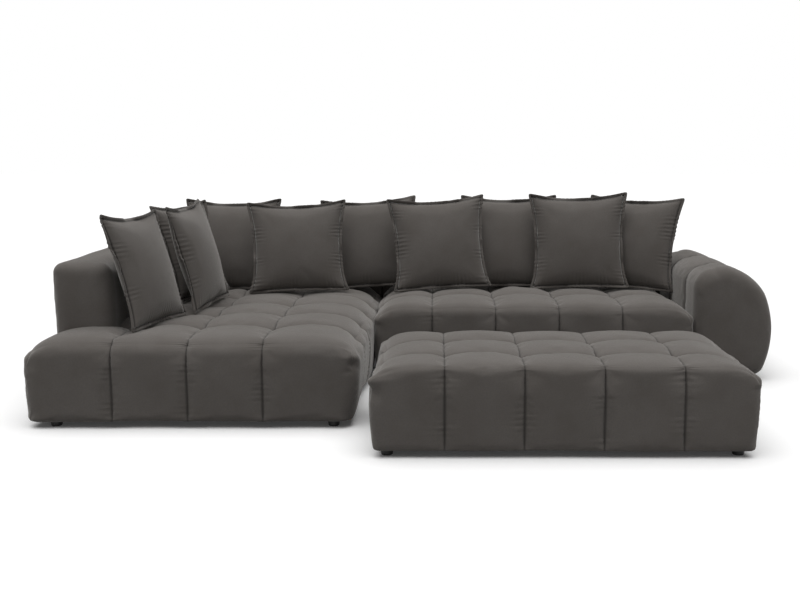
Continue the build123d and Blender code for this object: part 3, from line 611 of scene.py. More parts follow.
def padded_block(name, body, nodes, join, seed):
    """A back block: rounded, crowned and swollen a little, cut off flat at an end that meets something.

    join gives how far the flat left and right ends pass those of the solid, or None for a round end.
    """
    low, high = (np.array(corner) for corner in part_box(nodes[0]))
    limits = [low[0] - 0.010, high[0] + 0.010]
    for side, (passes, edge, way) in enumerate(zip(join, (low, high), (-1, 1))):
        if passes is not None:
            limits[side] = edge[0] + way * passes
            edge[0] += way * BACK_SPARE
    lines = [graded([low[axis], high[axis]], PAD_GRID, PAD_EASE) for axis in range(3)]
    flat, address, faces = soft_shell(low, high, *lines)
    places, out = rounded(flat, low, high, *BACK_ROUND)
    offset = (flat - (low + high) / 2) / ((high - low) / 2)
    crown = 1 - np.sort(np.abs(offset), axis=1)[:, 1] ** 2
    places += out * (0.003 * crown + 0.001 + 0.0018 * ripple(flat, 0.30, seed))[:, None]
    piece = add_piece(name, places, faces)
    held = np.where(address[:, 2] <= len(UNDER_INSETS), 1.0, 0.0)
    inflate(piece, held, pressure=1.5, frames=12, limit=0.005, spare=0.004)
    points = read_points(piece.data)
    points[:, 0] = np.clip(points[:, 0], *limits)
    write_points(piece.data, points)
    paint(piece.data, "seam", np.zeros(len(places)))
    dress(piece, body, nodes)


def arc_points(start, via, end, spacing):
    """Points after start along the round arc through via to end."""
    (ax, ay), (bx, by), (cx, cy) = start, via, end
    d = 2 * (ax * (by - cy) + bx * (cy - ay) + cx * (ay - by))
    a2, b2, c2 = ax * ax + ay * ay, bx * bx + by * by, cx * cx + cy * cy
    ox = (a2 * (by - cy) + b2 * (cy - ay) + c2 * (ay - by)) / d
    oy = (a2 * (cx - bx) + b2 * (ax - cx) + c2 * (bx - ax)) / d
    radius = math.hypot(ax - ox, ay - oy)
    first = math.atan2(ay - oy, ax - ox)
    turn = (math.atan2(cy - oy, cx - ox) - first + math.pi) % (2 * math.pi) - math.pi
    count = max(3, round(abs(turn) * radius / spacing))
    angles = first + turn * np.arange(1, count + 1) / count
    return [(ox + radius * math.cos(t), oy + radius * math.sin(t)) for t in angles]


def line_points(start, end, spacing):
    """Points after start along a straight run."""
    count = max(2, round(math.dist(start, end) / spacing))
    return [tuple(np.array(start) + (np.array(end) - start) * k / count) for k in range(1, count + 1)]


def arm_outline(low, high):
    """Section of the bolster arm seen from the front, anticlockwise from its inner bottom corner."""
    x0, x1, z0, z1 = low[0], high[0], low[2], high[2] - ARM_SINK
    start = (x0, z0)
    path = line_points(start, (x1 - 0.095, z0), PAD_GRID)
    path += arc_points(path[-1], (x1 - 0.052, z0 + 0.013), (x1 - 0.030, z0 + 0.045), PAD_GRID * 0.6)
    path += arc_points(path[-1], (x1, z0 + 0.240), (x1 - 0.038, z0 + 0.405), PAD_GRID * 0.8)
    path += arc_points(path[-1], (x1 - 0.092, z1 - 0.062), (x1 - 0.205, z1), PAD_GRID * 0.8)
    crown = ((x0 + x1) / 2 - 0.020, z1 + 0.003)
    path += arc_points(path[-1], crown, (x0 + 0.095, z1 - 0.004), PAD_GRID * 0.8)
    path += arc_points(path[-1], (x0 + 0.028, z1 - 0.033), (x0, z1 - 0.105), PAD_GRID * 0.7)
    path += line_points(path[-1], start, PAD_GRID)
    return np.array(path)


def bolster_arm(name, body, nodes, rows, tufting, seed):
    """The arm: a bulging section drawn along the seat, pinched by cross seams, with rounded ends."""
    low, high = (np.array(corner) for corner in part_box(nodes[0]))
    section = arm_outline(low, high)
    ahead = np.roll(section, -1, 0) - np.roll(section, 1, 0)
    outward = np.stack([ahead[:, 1], -ahead[:, 0]], 1)
    outward /= np.linalg.norm(outward, axis=1, keepdims=True)
    seams = [low[1] + s for s in rows]
    lengths = graded([low[1] + ARM_ROUND, *seams, high[1] - ARM_ROUND], TUFT_GRID)
    puff = biscuit(lengths, seams, low[1], high[1])
    centre = section.mean(0)
    round_steps = np.radians(np.linspace(90, 0, 10))[1:]
    shares = (0.93, 0.82, 0.68, 0.52, 0.35, 0.18, 0.06)
    caps = []
    for sign, at in ((1, low[1]), (-1, high[1])):
        cap = []
        for angle in round_steps:
            inset = centre + (section - centre) * (1 - ARM_SHRINK * (1 - math.sin(angle)))
            cap.append((inset, at + sign * ARM_ROUND * (1 - math.cos(angle))))
        rim = cap[-1][0]
        for share in shares:
            cap.append((centre + (rim - centre) * share, at - sign * ARM_BULGE * (1 - share ** 2)))
        caps.append(cap)
    body_rings = [(section - outward * (ARM_PINCH * (1 - p)), at) for p, at in zip(puff, lengths)]
    stack = caps[0][::-1] + body_rings + caps[1]
    count = len(section)
    places = np.concatenate([np.stack([ring[:, 0], np.full(count, at), ring[:, 1]], 1) for ring, at in stack])
    faces = []
    for r in range(len(stack) - 1):
        a = r * count + np.arange(count)
        b = r * count + (np.arange(count) + 1) % count
        faces.append(np.stack([a, a + count, b + count, b], 1))
    faces = [list(f) for f in np.concatenate(faces)]
    faces.append(list(range(count)))
    faces.append(list(range((len(stack) - 1) * count, len(stack) * count))[::-1])
    places += 0.002 * ripple(places, 0.30, seed)[:, None] * np.array([0.6, 0.6, 0.5])
    piece = add_piece(name, places, faces)
    y = np.repeat([at for _, at in stack], count)
    gap, which = nearest_seam(y, seams)
    resting = (places[:, 2] < low[2] + 0.004) | (places[:, 0] < low[0] + 0.004)
    ends = (y < low[1] + 0.001) | (y > high[1] - 0.001)
    held = np.where((np.abs(gap) < 1e-6) | resting | ends, 1.0, 0.0)
    inflate(piece, held, pressure=2.0, frames=10, limit=0.006, spare=0.006)
    run = np.concatenate([[0], np.cumsum(np.linalg.norm(np.diff(section, axis=0), axis=1))])
    along = np.tile(run, len(stack))
    waves = gathers(gap, along, which, tufting.pucker_pitch, seed + 1)
    stand_off(piece.data, 0.6 * tufting.pucker * waves)
    # painted shade: the cloth is coloured darker along the cross seams, where shade falls in the pinch
    paint(piece.data, "seam", np.exp(-np.abs(gap) / 0.010))
    dress(piece, body, nodes)


# loose cushions

def cushion_numbers(n):
    """Vertex numbers of two square panels that share their border, and the border in order."""
    front = np.arange(n * n).reshape(n, n)
    back = np.full((n, n), -1)
    edge = np.zeros((n, n), bool)
    edge[[0, -1]] = True
    edge[:, [0, -1]] = True
    back[edge] = front[edge]
    back[~edge] = n * n + np.arange((~edge).sum())
    border = np.concatenate([front[:-1, 0], front[-1, :-1], front[:0:-1, -1], front[0, :0:-1]])
    return front, back, border


def strip_quads(inner, outer):
    """Quads between two closed rings of vertices."""
    return np.stack([inner, np.roll(inner, -1), np.roll(outer, -1), outer], 1)


def settled(u, v, cushions):
    """Place on a cushion standing on its lower edge; u and v run from -1 to 1 across and up the flange."""
    half = cushions.side / 2
    up = 1 - np.abs(v) ** np.where(v > 0, 1.9, 3.6)
    across = 1 - np.abs(u) ** 2.2
    x = u * (half - cushions.drawn * up)
    y = v * half * cushions.settle - across * (cushions.dip * (1 + v) / 2 - cushions.arch * (1 - v) / 2)
    blunt = 0.006 * np.abs(u * v) ** 24
    return np.stack([x - np.sign(u) * blunt, y - np.sign(v) * blunt], 1)


def filled_cushion(cushions, seed):
    """Panel coordinates and puffed heights of one cushion: both panels, then two rings of the flange."""
    n = cushions.grid
    front, back, border = cushion_numbers(n)
    half = cushions.side / 2 - cushions.flange
    u = np.linspace(-1, 1, n)
    gx, gy = np.meshgrid(u, u, indexing="ij")
    lens = (1 - gx ** 2) * (1 - gy ** 2)
    total = back.max() + 1
    points = np.zeros((total, 3))
    dome = START_DOME
    shape = lens ** 1.0
    for sheet, sign in ((back, -1), (front, 1)):
        points[sheet.ravel()] = np.stack([gx * half, gy * half, sign * dome * shape], -1).reshape(-1, 3)
    points[:, 2] += 0.004 * ripple(points, 0.22, seed)
    rim = points[border]
    grown = [1 + cushions.flange * s / half for s in (0.5, 1.0)]
    points = np.concatenate([points, *(rim * [share, share, 1] for share in grown)])
    panel = points[:, :2] / (cushions.side / 2)
    ring_a = total + np.arange(len(border))
    ring_b = ring_a + len(border)
    faces = np.concatenate([panel_quads(front), panel_quads(back)[:, ::-1], strip_quads(border, ring_a),
                            strip_quads(ring_a, ring_b)])
    trial = add_piece("cushion_trial", points, faces)
    loose = np.zeros(len(points), bool)
    loose[:total] = True
    loose[border] = False
    inflate(trial, np.zeros(len(points)), pressure=2.2, frames=20, loose=loose)
    points = read_points(trial.data)
    bpy.data.meshes.remove(trial.data)
    height = points[:, 2] - points[border, 2].mean()
    height *= cushions.thickness / np.ptp(height)
    for sheet, sign in ((back, -1), (front, 1)):
        crown = sign * cushions.thickness / 2 * lens.ravel() ** CROWN_POWER
        height[sheet.ravel()] = FILL_SHARE * height[sheet.ravel()] + (1 - FILL_SHARE) * crown
    for ring in (border, ring_a, ring_b):
        height[ring] = np.clip(height[ring], -FLANGE_WAVE, FLANGE_WAVE)
    return panel, height, front, back, border, ring_a, ring_b


def sewn_cushion(cushions, seed):
    """Points, panel coordinates and quads of the cover: two panels and a flange of two layers."""
    panel, height, front, back, border, ring_a, ring_b = filled_cushion(cushions, seed)
    points = np.column_stack([settled(panel[:, 0], panel[:, 1], cushions), height])
    along = np.roll(points[border], -1, 0) - np.roll(points[border], 1, 0)
    across = points[ring_b] - points[border]
    normal = np.cross(along, across)
    normal /= np.maximum(np.linalg.norm(normal, axis=1, keepdims=True), 1e-9)
    normal *= np.sign(normal[:, 2:3] + 1e-9)
    outward = across / np.linalg.norm(across, axis=1, keepdims=True)
    layer = normal * FLANGE_LAYER
    size = len(border)
    extra = [points[ring_a] + layer, points[ring_b] + layer, points[ring_b] + outward * 0.002,
             points[ring_b] - layer, points[ring_a] - layer]
    rings = [len(points) + k * size + np.arange(size) for k in range(len(extra))]
    everything = np.concatenate([points, *extra])
    panel = np.concatenate([panel] + [panel[ring] for ring in (ring_a, ring_b, ring_b, ring_b, ring_a)])
    sides = [border, *rings, border]
    faces = [panel_quads(front), panel_quads(back)[:, ::-1]]
    for inner, outer in zip(sides, sides[1:]):
        faces.append(strip_quads(inner, outer)[:, ::-1])
    used = np.unique(np.concatenate(faces))
    renumber = np.full(len(everything), -1)
    renumber[used] = np.arange(len(used))
    stitches = [points[border] * 0.7 + points[ring_a] * 0.3 + normal * 0.006 * s for s in (1, -1)]
    return everything[used], panel[used], renumber[np.concatenate(faces)], stitches


def subdivide(piece):
    """One smooth subdivision, applied."""
    finer = piece.modifiers.new("Smooth", "SUBSURF")
    finer.levels = 1
    finer.render_levels = 1
    shown = piece.evaluated_get(bpy.context.evaluated_depsgraph_get())
    fine = bpy.data.meshes.new_from_object(shown)
    coarse = piece.data
    piece.modifiers.remove(finer)
    piece.data = fine
    bpy.data.meshes.remove(coarse)


def flange_gathers(u, v, cushions, seed):
    """Height of the puckers along the four flange seams, and the distance to the nearest seam."""
    half = cushions.side / 2
    edge = 1 - cushions.flange / half
    total = np.zeros(len(u))
    sides = ((u, v, 1.0), (-u, v, 1.0), (v, u, 0.30), (-v, u, 0.80))
    for number, (over, beside, weight) in enumerate(sides):
        gap = -np.abs(edge - over) * half
        waves = gathers(gap, beside * half, np.zeros(len(u), int), 0.021, seed + number, 0.015)
        total += weight * waves * np.clip((1 - np.abs(beside)) * 6, 0, 1) * (over > 0)
    return total, np.minimum(np.abs(edge - np.abs(u)), np.abs(edge - np.abs(v))) * half


def cushion_frame(turn, lean, roll):
    """Right, up and outward directions of a leaning cushion as columns."""
    a, b, c = (math.radians(v) for v in (turn, lean, roll))
    face = np.array([math.sin(a), -math.cos(a), 0])
    right = np.array([math.cos(a), math.sin(a), 0])
    up = np.array([0, 0, math.cos(b)]) - face * math.sin(b)
    out = face * math.cos(b) + np.array([0, 0, math.sin(b)])
    return np.stack([right * math.cos(c) + up * math.sin(c), up * math.cos(c) - right * math.sin(c), out], 1)


def press_seats(points, depth):
    """Dent the tufted seats along the lower edge of a cushion that stands there."""
    low, high = points[:, :2].min(0), points[:, :2].max(0)
    middle = points[:, :2].mean(0)
    along = np.linalg.svd(points[:, :2] - middle)[2][0]
    half = np.linalg.norm(high - low) / 2
    for seat in SEATS:
        mesh = bpy.data.objects[seat].data
        places = read_points(mesh)
        offset = places[:, :2] - middle
        run = np.clip(offset @ along, -half, half)
        away = np.linalg.norm(offset - run[:, None] * along, axis=1)
        places[:, 2] -= depth * bell(away, DENT_WIDTH) * smooth((places[:, 2] - 0.20) / 0.12)
        write_points(mesh, places)


def seat_gap(points):
    """Smallest height of these points over the tufted seats."""
    graph = bpy.context.evaluated_depsgraph_get()
    gaps = []
    for seat in SEATS:
        tree = BVHTree.FromObject(bpy.data.objects[seat], graph)
        for x, y, z in points:
            spot = tree.ray_cast(Vector((x, y, z + 0.2)), Vector((0, 0, -1)))[0]
            if spot is not None and spot.z > 0.2:
                gaps.append(z - spot.z)
    return min(gaps)


def loose_cushion(name, cushions, seed):
    """One flanged cushion with its stitches: filled, leaned, set down on the seat, on a body of its own."""
    turn, lean, roll, shift, taller = CUSHION_POSES[name]
    points, panel, faces, stitches = sewn_cushion(cushions, seed)
    stretch = np.array([1, 1 + taller / (cushions.side * cushions.settle), 1])
    lift = np.array([0, taller / 2, 0])
    axes = cushion_frame(turn, lean, roll)
    low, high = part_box(name + "_cover")
    centre = np.array((low + high) / 2) + [shift, 0, 0]

    def stood(spots):
        return (spots * stretch + lift) @ axes.T + centre

    lower = stood(points)[panel[:, 1] < -0.90]
    press_seats(lower, cushions.press)
    centre[2] -= np.clip(seat_gap(lower) - 0.0005, -0.010, 0.040)
    piece = add_piece(name + "_filled", stood(points), faces)
    paint(piece.data, "across", panel[:, 0])
    paint(piece.data, "upward", panel[:, 1])
    subdivide(piece)
    u, v = (read_paint(piece.data, key) for key in ("across", "upward"))
    waves, near = flange_gathers(u, v, cushions, 10 * seed)
    stand_off(piece.data, cushions.gather * waves)
    # painted shade: the cloth is coloured darker along the flange seam and along the rolled outer edge of the
    # flange, where shade falls
    rim = (1 - np.maximum(np.abs(u), np.abs(v))) * cushions.side / 2
    rim_shade = 0.3 * np.exp(-np.abs(rim) / 0.003)
    paint(piece.data, "seam", np.maximum(bell(near, FLANGE_SHADE), rim_shade))
    dress(piece, name, [name + "_cover", name + "_pad"])
    paths = []
    for path in stitches:
        spots = [piece.closest_point_on_mesh(Vector(p)) for p in stood(path)]
        paths.append([spot + normal * 0.0001 for _, spot, normal, _ in spots])
    sew(name + "_stitches", name, paths, cushions.stitch)


# stitches and staples, repeated along a path

def along_path(name, solid, paths, pitch, size, finish):
    """A plain mesh of one small shape repeated along closed paths by Geometry Nodes."""
    tree = bpy.data.node_groups.get("along_path") or path_tree()
    points = [p for path in paths for p in path]
    edges = []
    start = 0
    for path in paths:
        count = len(path)
        edges += [(start + k, start + (k + 1) % count) for k in range(count)]
        start += count
    mesh = bpy.data.meshes.new(name + "_path")
    mesh.from_pydata([tuple(p) for p in points], edges, [])
    guide = bpy.data.objects.new(name + "_path", mesh)
    bpy.context.scene.collection.objects.link(guide)
    repeat = guide.modifiers.new("Repeat", "NODES")
    repeat.node_group = tree
    values = {"Pitch": pitch, "Size": size, "Square": solid == "staple", "Finish": finish}
    for socket in tree.interface.items_tree:
        if socket.name in values:
            repeat[socket.identifier] = values[socket.name]
    shown = guide.evaluated_get(bpy.context.evaluated_depsgraph_get())
    made = bpy.data.meshes.new_from_object(shown)
    made.name = name
    bpy.data.objects.remove(guide)
    bpy.data.meshes.remove(mesh)
    piece = bpy.data.objects.new(name, made)
    bpy.context.scene.collection.objects.link(piece)
    return piece


def path_tree():
    """Node tree: resample a path, put a thread or a staple on every point, turned along the path."""
    tree = bpy.data.node_groups.new("along_path", "GeometryNodeTree")
    ports = tree.interface
    ports.new_socket("Path", in_out="INPUT", socket_type="NodeSocketGeometry")
    for label, kind in (("Pitch", "NodeSocketFloat"), ("Size", "NodeSocketVector"),
                        ("Square", "NodeSocketBool"), ("Finish", "NodeSocketMaterial")):
        ports.new_socket(label, in_out="INPUT", socket_type=kind)
    ports.new_socket("Result", in_out="OUTPUT", socket_type="NodeSocketGeometry")
    entry = add_node(tree, "NodeGroupInput")
    curve = add_node(tree, "GeometryNodeMeshToCurve")
    spaced = add_node(tree, "GeometryNodeResampleCurve", {"mode": "LENGTH"})
    tangent = add_node(tree, "GeometryNodeInputTangent")
    aim = add_node(tree, "FunctionNodeAlignRotationToVector", {"axis": "X"})
    strand = add_node(tree, "GeometryNodeMeshUVSphere", Segments=6, Rings=4, Radius=0.5)
    bar = add_node(tree, "GeometryNodeMeshCube", Size=(1, 1, 1))
    shape = add_node(tree, "GeometryNodeSwitch", {"input_type": "GEOMETRY"})
    place = add_node(tree, "GeometryNodeInstanceOnPoints")
    solid = add_node(tree, "GeometryNodeRealizeInstances")
    finish = add_node(tree, "GeometryNodeSetMaterial")
    leave = add_node(tree, "NodeGroupOutput")
    wires = ((entry, "Path", curve, "Mesh"), (curve, "Curve", spaced, "Curve"),
             (entry, "Pitch", spaced, "Length"), (tangent, "Tangent", aim, "Vector"),
             (aim, "Rotation", place, "Rotation"), (entry, "Square", shape, "Switch"),
             (strand, "Mesh", shape, "False"), (bar, "Mesh", shape, "True"),
             (spaced, "Curve", place, "Points"), (shape, "Output", place, "Instance"),
             (entry, "Size", place, "Scale"), (place, "Instances", solid, "Geometry"),
             (solid, "Geometry", finish, "Geometry"), (entry, "Finish", finish, "Material"),
             (finish, "Geometry", leave, "Result"))
    for source, output, target, entry_name in wires:
        tree.links.new(source.outputs[output], target.inputs[entry_name])
    return tree


def sew(name, body, paths, pitch):
    """Thread stitches along the flange seam of one cushion."""
    piece = along_path(name, "thread", paths, pitch, STITCH, thread())
    piece.data.shade_smooth()
    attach(piece, body)


# dust sheets

def stud_spots(node):
    """Middle of every stud in a node."""
    points = read_points(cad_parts[node].data)[:, :2]
    spots = []
    while len(points):
        here = np.linalg.norm(points - points[0], axis=1) < 0.030
        spots.append((points[here].min(0) + points[here].max(0)) / 2)
        points = points[~here]
    return spots


def solid_boxes(node):
    """Boxes of the flat solids in a node, left to right."""
    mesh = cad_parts[node].data
    points = read_points(mesh)
    groups = []
    for a, b in sorted((min(run), max(run)) for run in (points[list(f.vertices), 0] for f in mesh.polygons)):
        if groups and a <= groups[-1][1] + 0.001:
            groups[-1][1] = max(groups[-1][1], b)
        else:
            groups.append([a, b])
    boxes = []
    for a, b in groups:
        here = points[(points[:, 0] >= a - 1e-6) & (points[:, 0] <= b + 1e-6)]
        boxes.append((here.min(0), here.max(0)))
    return boxes


def dust_sheet(name, body, node, low, high, studs, seed):
    """Black lining stretched under a base and cut for the feet; gives the path of its staples."""
    inside = [s for s in studs if low[0] < s[0] < high[0] and low[1] < s[1] < high[1]]
    lines = []
    for axis in (0, 1):
        cuts = [s[axis] + side for s in inside for side in (-STUD_HOLE, STUD_HOLE)]
        stops = sorted([low[axis], high[axis], *cuts])
        kept = [stops[0]] + [b for a, b in zip(stops, stops[1:]) if b - a > 0.002]
        lines.append(graded(kept, SHEET_GRID, 0))
    gx, gy = np.meshgrid(*lines, indexing="ij")
    u = (2 * gx - low[0] - high[0]) / (high[0] - low[0])
    v = (2 * gy - low[1] - high[1]) / (high[1] - low[1])
    flat = np.stack([gx, gy, np.full(gx.shape, high[2] - 0.0006)], -1).reshape(-1, 3)
    slack = ((1 - u ** 6) * (1 - v ** 6)).ravel()
    flat[:, 2] -= slack * (0.0030 + 0.0012 * ripple(flat, 0.35, seed))
    quads = panel_quads(np.arange(gx.size).reshape(gx.shape))[:, ::-1]
    for spot in inside:
        middles = flat[quads].mean(1)[:, :2]
        quads = quads[np.any(np.abs(middles - spot) > STUD_HOLE, axis=1)]
    used = np.unique(quads)
    renumber = np.full(len(flat), -1)
    renumber[used] = np.arange(len(used))
    piece = add_piece(name, flat[used], renumber[quads])
    piece.data.materials.append(black_textile())
    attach(piece, body)
    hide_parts(node)
    x0, y0 = low[:2] + STAPLE_INSET
    x1, y1 = high[:2] - STAPLE_INSET
    return [Vector((x, y, high[2] - 0.0014)) for x, y in ((x0, y0), (x1, y0), (x1, y1), (x0, y1))]


# materials

def new_material(name):
    """An empty node material, or the one already made under that name."""
    found = bpy.data.materials.get(name)
    if found:
        return found, None
    made = bpy.data.materials.new(name)
    made.use_nodes = True
    return made, made.node_tree


def add_node(tree, kind, settings=None, **inputs):
    """A node with its settings and constant inputs set."""
    node = tree.nodes.new(kind)
    for key, value in (settings or {}).items():
        setattr(node, key, value)
    for key, value in inputs.items():
        node.inputs[key.replace("_", " ")].default_value = value
    return node


def mixed(tree, factor, a, b):
    """Colour socket blending two colours or sockets by a factor socket."""
    node = add_node(tree, "ShaderNodeMix", {"data_type": "RGBA"})
    tree.links.new(factor, node.inputs[0])
    for value, socket in ((a, node.inputs[6]), (b, node.inputs[7])):
        if hasattr(value, "is_linked"):
            tree.links.new(value, socket)
        else:
            socket.default_value = (*value, 1)
    return node.outputs[2]


def upholstery():
    """Short-pile microfibre velvet: brushed patches, fine fibres, and painted shade in the seams."""
    made, tree = new_material("pile_cloth")
    if tree is None:
        return made
    fabric = bpy.context.scene.sofa_fabric
    shader = tree.nodes["Principled BSDF"]
    coords = add_node(tree, "ShaderNodeTexCoord").outputs["Object"]
    patches = add_node(tree, "ShaderNodeTexNoise", Scale=7.0, Detail=3.0, Roughness=0.55)
    fibres = add_node(tree, "ShaderNodeTexNoise", Scale=900.0, Detail=2.0, Roughness=0.6)
    flecks = add_node(tree, "ShaderNodeTexNoise", Scale=160.0, Detail=3.0, Roughness=0.65)
    for texture in (patches, fibres, flecks):
        tree.links.new(coords, texture.inputs["Vector"])
    brushed = add_node(tree, "ShaderNodeMapRange", From_Min=0.35, From_Max=0.68)
    tree.links.new(patches.outputs["Fac"], brushed.inputs["Value"])
    cloth = mixed(tree, brushed.outputs["Result"], fabric.colour, fabric.nap)
    speck = add_node(tree, "ShaderNodeMapRange", From_Min=0.42, From_Max=0.66, To_Min=0.0, To_Max=0.30)
    tree.links.new(flecks.outputs["Fac"], speck.inputs["Value"])
    cloth = mixed(tree, speck.outputs["Result"], cloth, tuple(0.80 * c for c in fabric.colour))
    # painted shade: the seam numbers of the covers darken the cloth in the seam creases and along the flange
    # edges
    seam = add_node(tree, "ShaderNodeAttribute", {"attribute_name": "seam"})
    shade = add_node(tree, "ShaderNodeMath", {"operation": "MULTIPLY"})
    shade.inputs[1].default_value = 0.80
    tree.links.new(seam.outputs["Fac"], shade.inputs[0])
    cloth = mixed(tree, shade.outputs[0], cloth, tuple(0.18 * c for c in fabric.colour))
    tree.links.new(cloth, shader.inputs["Base Color"])
    rough = add_node(tree, "ShaderNodeMapRange", To_Min=0.82, To_Max=0.97)
    tree.links.new(fibres.outputs["Fac"], rough.inputs["Value"])
    tree.links.new(rough.outputs["Result"], shader.inputs["Roughness"])
    shader.inputs["Specular IOR Level"].default_value = 0.22
    shader.inputs["Sheen Weight"].default_value = fabric.sheen
    shader.inputs["Sheen Roughness"].default_value = 0.42
    shader.inputs["Sheen Tint"].default_value = (0.92, 0.90, 0.87, 1)
    height = add_node(tree, "ShaderNodeMath", {"operation": "ADD"})
    tree.links.new(fibres.outputs["Fac"], height.inputs[0])
    tree.links.new(flecks.outputs["Fac"], height.inputs[1])
    bump = add_node(tree, "ShaderNodeBump", Strength=0.35, Distance=0.0012)
    tree.links.new(height.outputs[0], bump.inputs["Height"])
    tree.links.new(bump.outputs["Normal"], shader.inputs["Normal"])
    return made


def grained(name, pattern, tones, rough, kind="Noise", stretch=None, contrast=None, bump=None, **sockets):
    """A finish whose tone, roughness and bump follow one fine pattern.

    rough is one number or the two ends of a range; contrast is the range of the pattern that the tones span.
    """
    made, tree = new_material(name)
    if tree is None:
        return made
    shader = tree.nodes["Principled BSDF"]
    spot = add_node(tree, "ShaderNodeTexCoord").outputs["Object"]
    if stretch:
        mapping = add_node(tree, "ShaderNodeMapping", Scale=stretch)
        tree.links.new(spot, mapping.inputs["Vector"])
        spot = mapping.outputs["Vector"]
    texture = add_node(tree, "ShaderNodeTex" + kind, **pattern)
    tree.links.new(spot, texture.inputs["Vector"])
    level = texture.outputs["Fac" if kind == "Noise" else "Distance"]
    toned = level
    if contrast:
        span = add_node(tree, "ShaderNodeMapRange", From_Min=contrast[0], From_Max=contrast[1])
        tree.links.new(level, span.inputs["Value"])
        toned = span.outputs["Result"]
    tree.links.new(mixed(tree, toned, *tones), shader.inputs["Base Color"])
    if isinstance(rough, tuple):
        span = add_node(tree, "ShaderNodeMapRange", To_Min=rough[0], To_Max=rough[1])
        tree.links.new(level, span.inputs["Value"])
        tree.links.new(span.outputs["Result"], shader.inputs["Roughness"])
    else:
        shader.inputs["Roughness"].default_value = rough
    if bump:
        relief = add_node(tree, "ShaderNodeBump", Strength=bump[0], Distance=bump[1])
        tree.links.new(level, relief.inputs["Height"])
        tree.links.new(relief.outputs["Normal"], shader.inputs["Normal"])
    for key, value in sockets.items():
        shader.inputs[key.replace("_", " ")].default_value = value
    return made


def thread():
    """Twisted polyester thread."""
    colour = bpy.context.scene.sofa_fabric.thread
    tones = [tuple(share * c for c in colour) for share in (0.8, 1.25)]
    return grained("sewing_thread", {"Scale": 1500.0, "Detail": 1.0}, tones, 0.8, Specular_IOR_Level=0.1)


def foot_plastic():
    """Moulded black plastic with a faint grain."""
    return grained("moulded_black", {"Scale": 700.0, "Detail": 2.0},
                   ((0.012, 0.012, 0.012), (0.022, 0.021, 0.021)), (0.38, 0.52), bump=(0.2, 0.0003))


def pine():
    """Planed softwood with long grain."""
    return grained("planed_pine", {"Scale": 2.2, "Detail": 6.0, "Distortion": 1.2},
                   ((0.62, 0.44, 0.26), (0.76, 0.60, 0.40)), (0.55, 0.75),
                   stretch=(6.0, 6.0, 60.0), contrast=(0.35, 0.65))


def zinc_steel():
    """Zinc-plated steel with a cloudy finish."""
    return grained("zinc_plate", {"Scale": 90.0, "Detail": 4.0}, ((0.48, 0.49, 0.50), (0.68, 0.69, 0.70)),
                   (0.28, 0.48), Metallic=1.0)


def black_textile():
    """Black non-woven lining and elastic webbing."""
    return grained("black_lining", {"Scale": 420.0}, ((0.016, 0.016, 0.016), (0.040, 0.039, 0.038)), 0.9,
                   kind="Voronoi", bump=(0.5, 0.0006))


# operators, one for each group of pieces

class SOFA_OT_seats(bpy.types.Operator):
    """Make the tufted seats of both modules and the ottoman"""

    bl_idname = "sofa.seats"
    bl_label = "Tufted seats"

    def execute(self, context):
        tufting = context.scene.sofa_tufting
        tufted_base("chaise_tufted_seat", "chaise_module", ["chaise_seat_cover", "chaise_seat_foam"],
                    CHAISE_COLUMNS, CHAISE_ROWS, BASE_FORMS["chaise"], tufting, 11)
        tufted_base("sofa_tufted_seat", "sofa_module", ["sofa_seat_cover", "sofa_seat_foam"],
                    SOFA_COLUMNS, SOFA_ROWS, BASE_FORMS["sofa"], tufting, 23)
        tufted_base("ottoman_tufted_cover", "ottoman", ["ottoman_cover", "ottoman_foam"],
                    OTTOMAN_COLUMNS, OTTOMAN_ROWS, BASE_FORMS["ottoman"], tufting, 37)
        return {"FINISHED"}


class SOFA_OT_backs(bpy.types.Operator):
    """Make the padded back blocks"""

    bl_idname = "sofa.backs"
    bl_label = "Padded backs"

    def execute(self, context):
        blocks = (("side_back", "chaise_module", (None, None)),
                  ("chaise_rear_back", "chaise_module", (None, -0.0005)),
                  ("sofa_rear_back", "sofa_module", (-0.0005, 0.004)))
        for seed, (block, body, join) in enumerate(blocks):
            padded_block(block + "_pad", body, [block + "_cover", block + "_foam"], join, 51 + seed)
        return {"FINISHED"}


class SOFA_OT_arm(bpy.types.Operator):
    """Make the bolster arm"""

    bl_idname = "sofa.arm"
    bl_label = "Bolster arm"

    def execute(self, context):
        bolster_arm("arm_bolster", "sofa_module", ["arm_cover", "arm_foam"], ARM_ROWS,
                    context.scene.sofa_tufting, 61)
        return {"FINISHED"}


class SOFA_OT_cushions(bpy.types.Operator):
    """Fill, flange and lean the loose cushions"""

    bl_idname = "sofa.cushions"
    bl_label = "Loose cushions"

    def execute(self, context):
        for seed, name in enumerate(CUSHION_POSES):
            loose_cushion(name, context.scene.sofa_cushions, 71 + seed)
        return {"FINISHED"}


class SOFA_OT_linings(bpy.types.Operator):
    """Stretch and staple the dust sheets under the bases"""

    bl_idname = "sofa.linings"
    bl_label = "Dust sheets"

    def execute(self, context):
        under = (("chaise_module", "chaise_dust_sheet", "chaise_foot_studs", ["chaise_perimeter_rails"]),
                 ("sofa_module", "sofa_dust_sheets", "sofa_foot_studs", ["sofa_perimeter_rails"]),
                 ("ottoman", "ottoman_dust_sheet", "ottoman_foot_studs", ["ottoman_rails"]))
        for seed, (body, node, studs, rails) in enumerate(under):
            paths = []
            for part, (low, high) in enumerate(solid_boxes(node)):
                paths.append(dust_sheet(f"{body}_lining_{part + 1}", body, node, low, high,
                                        stud_spots(studs), 91 + seed + part))
            staples = along_path(body + "_staples", "staple", paths, STAPLE_PITCH, STAPLE, zinc_steel())
            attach(staples, body)
        return {"FINISHED"}


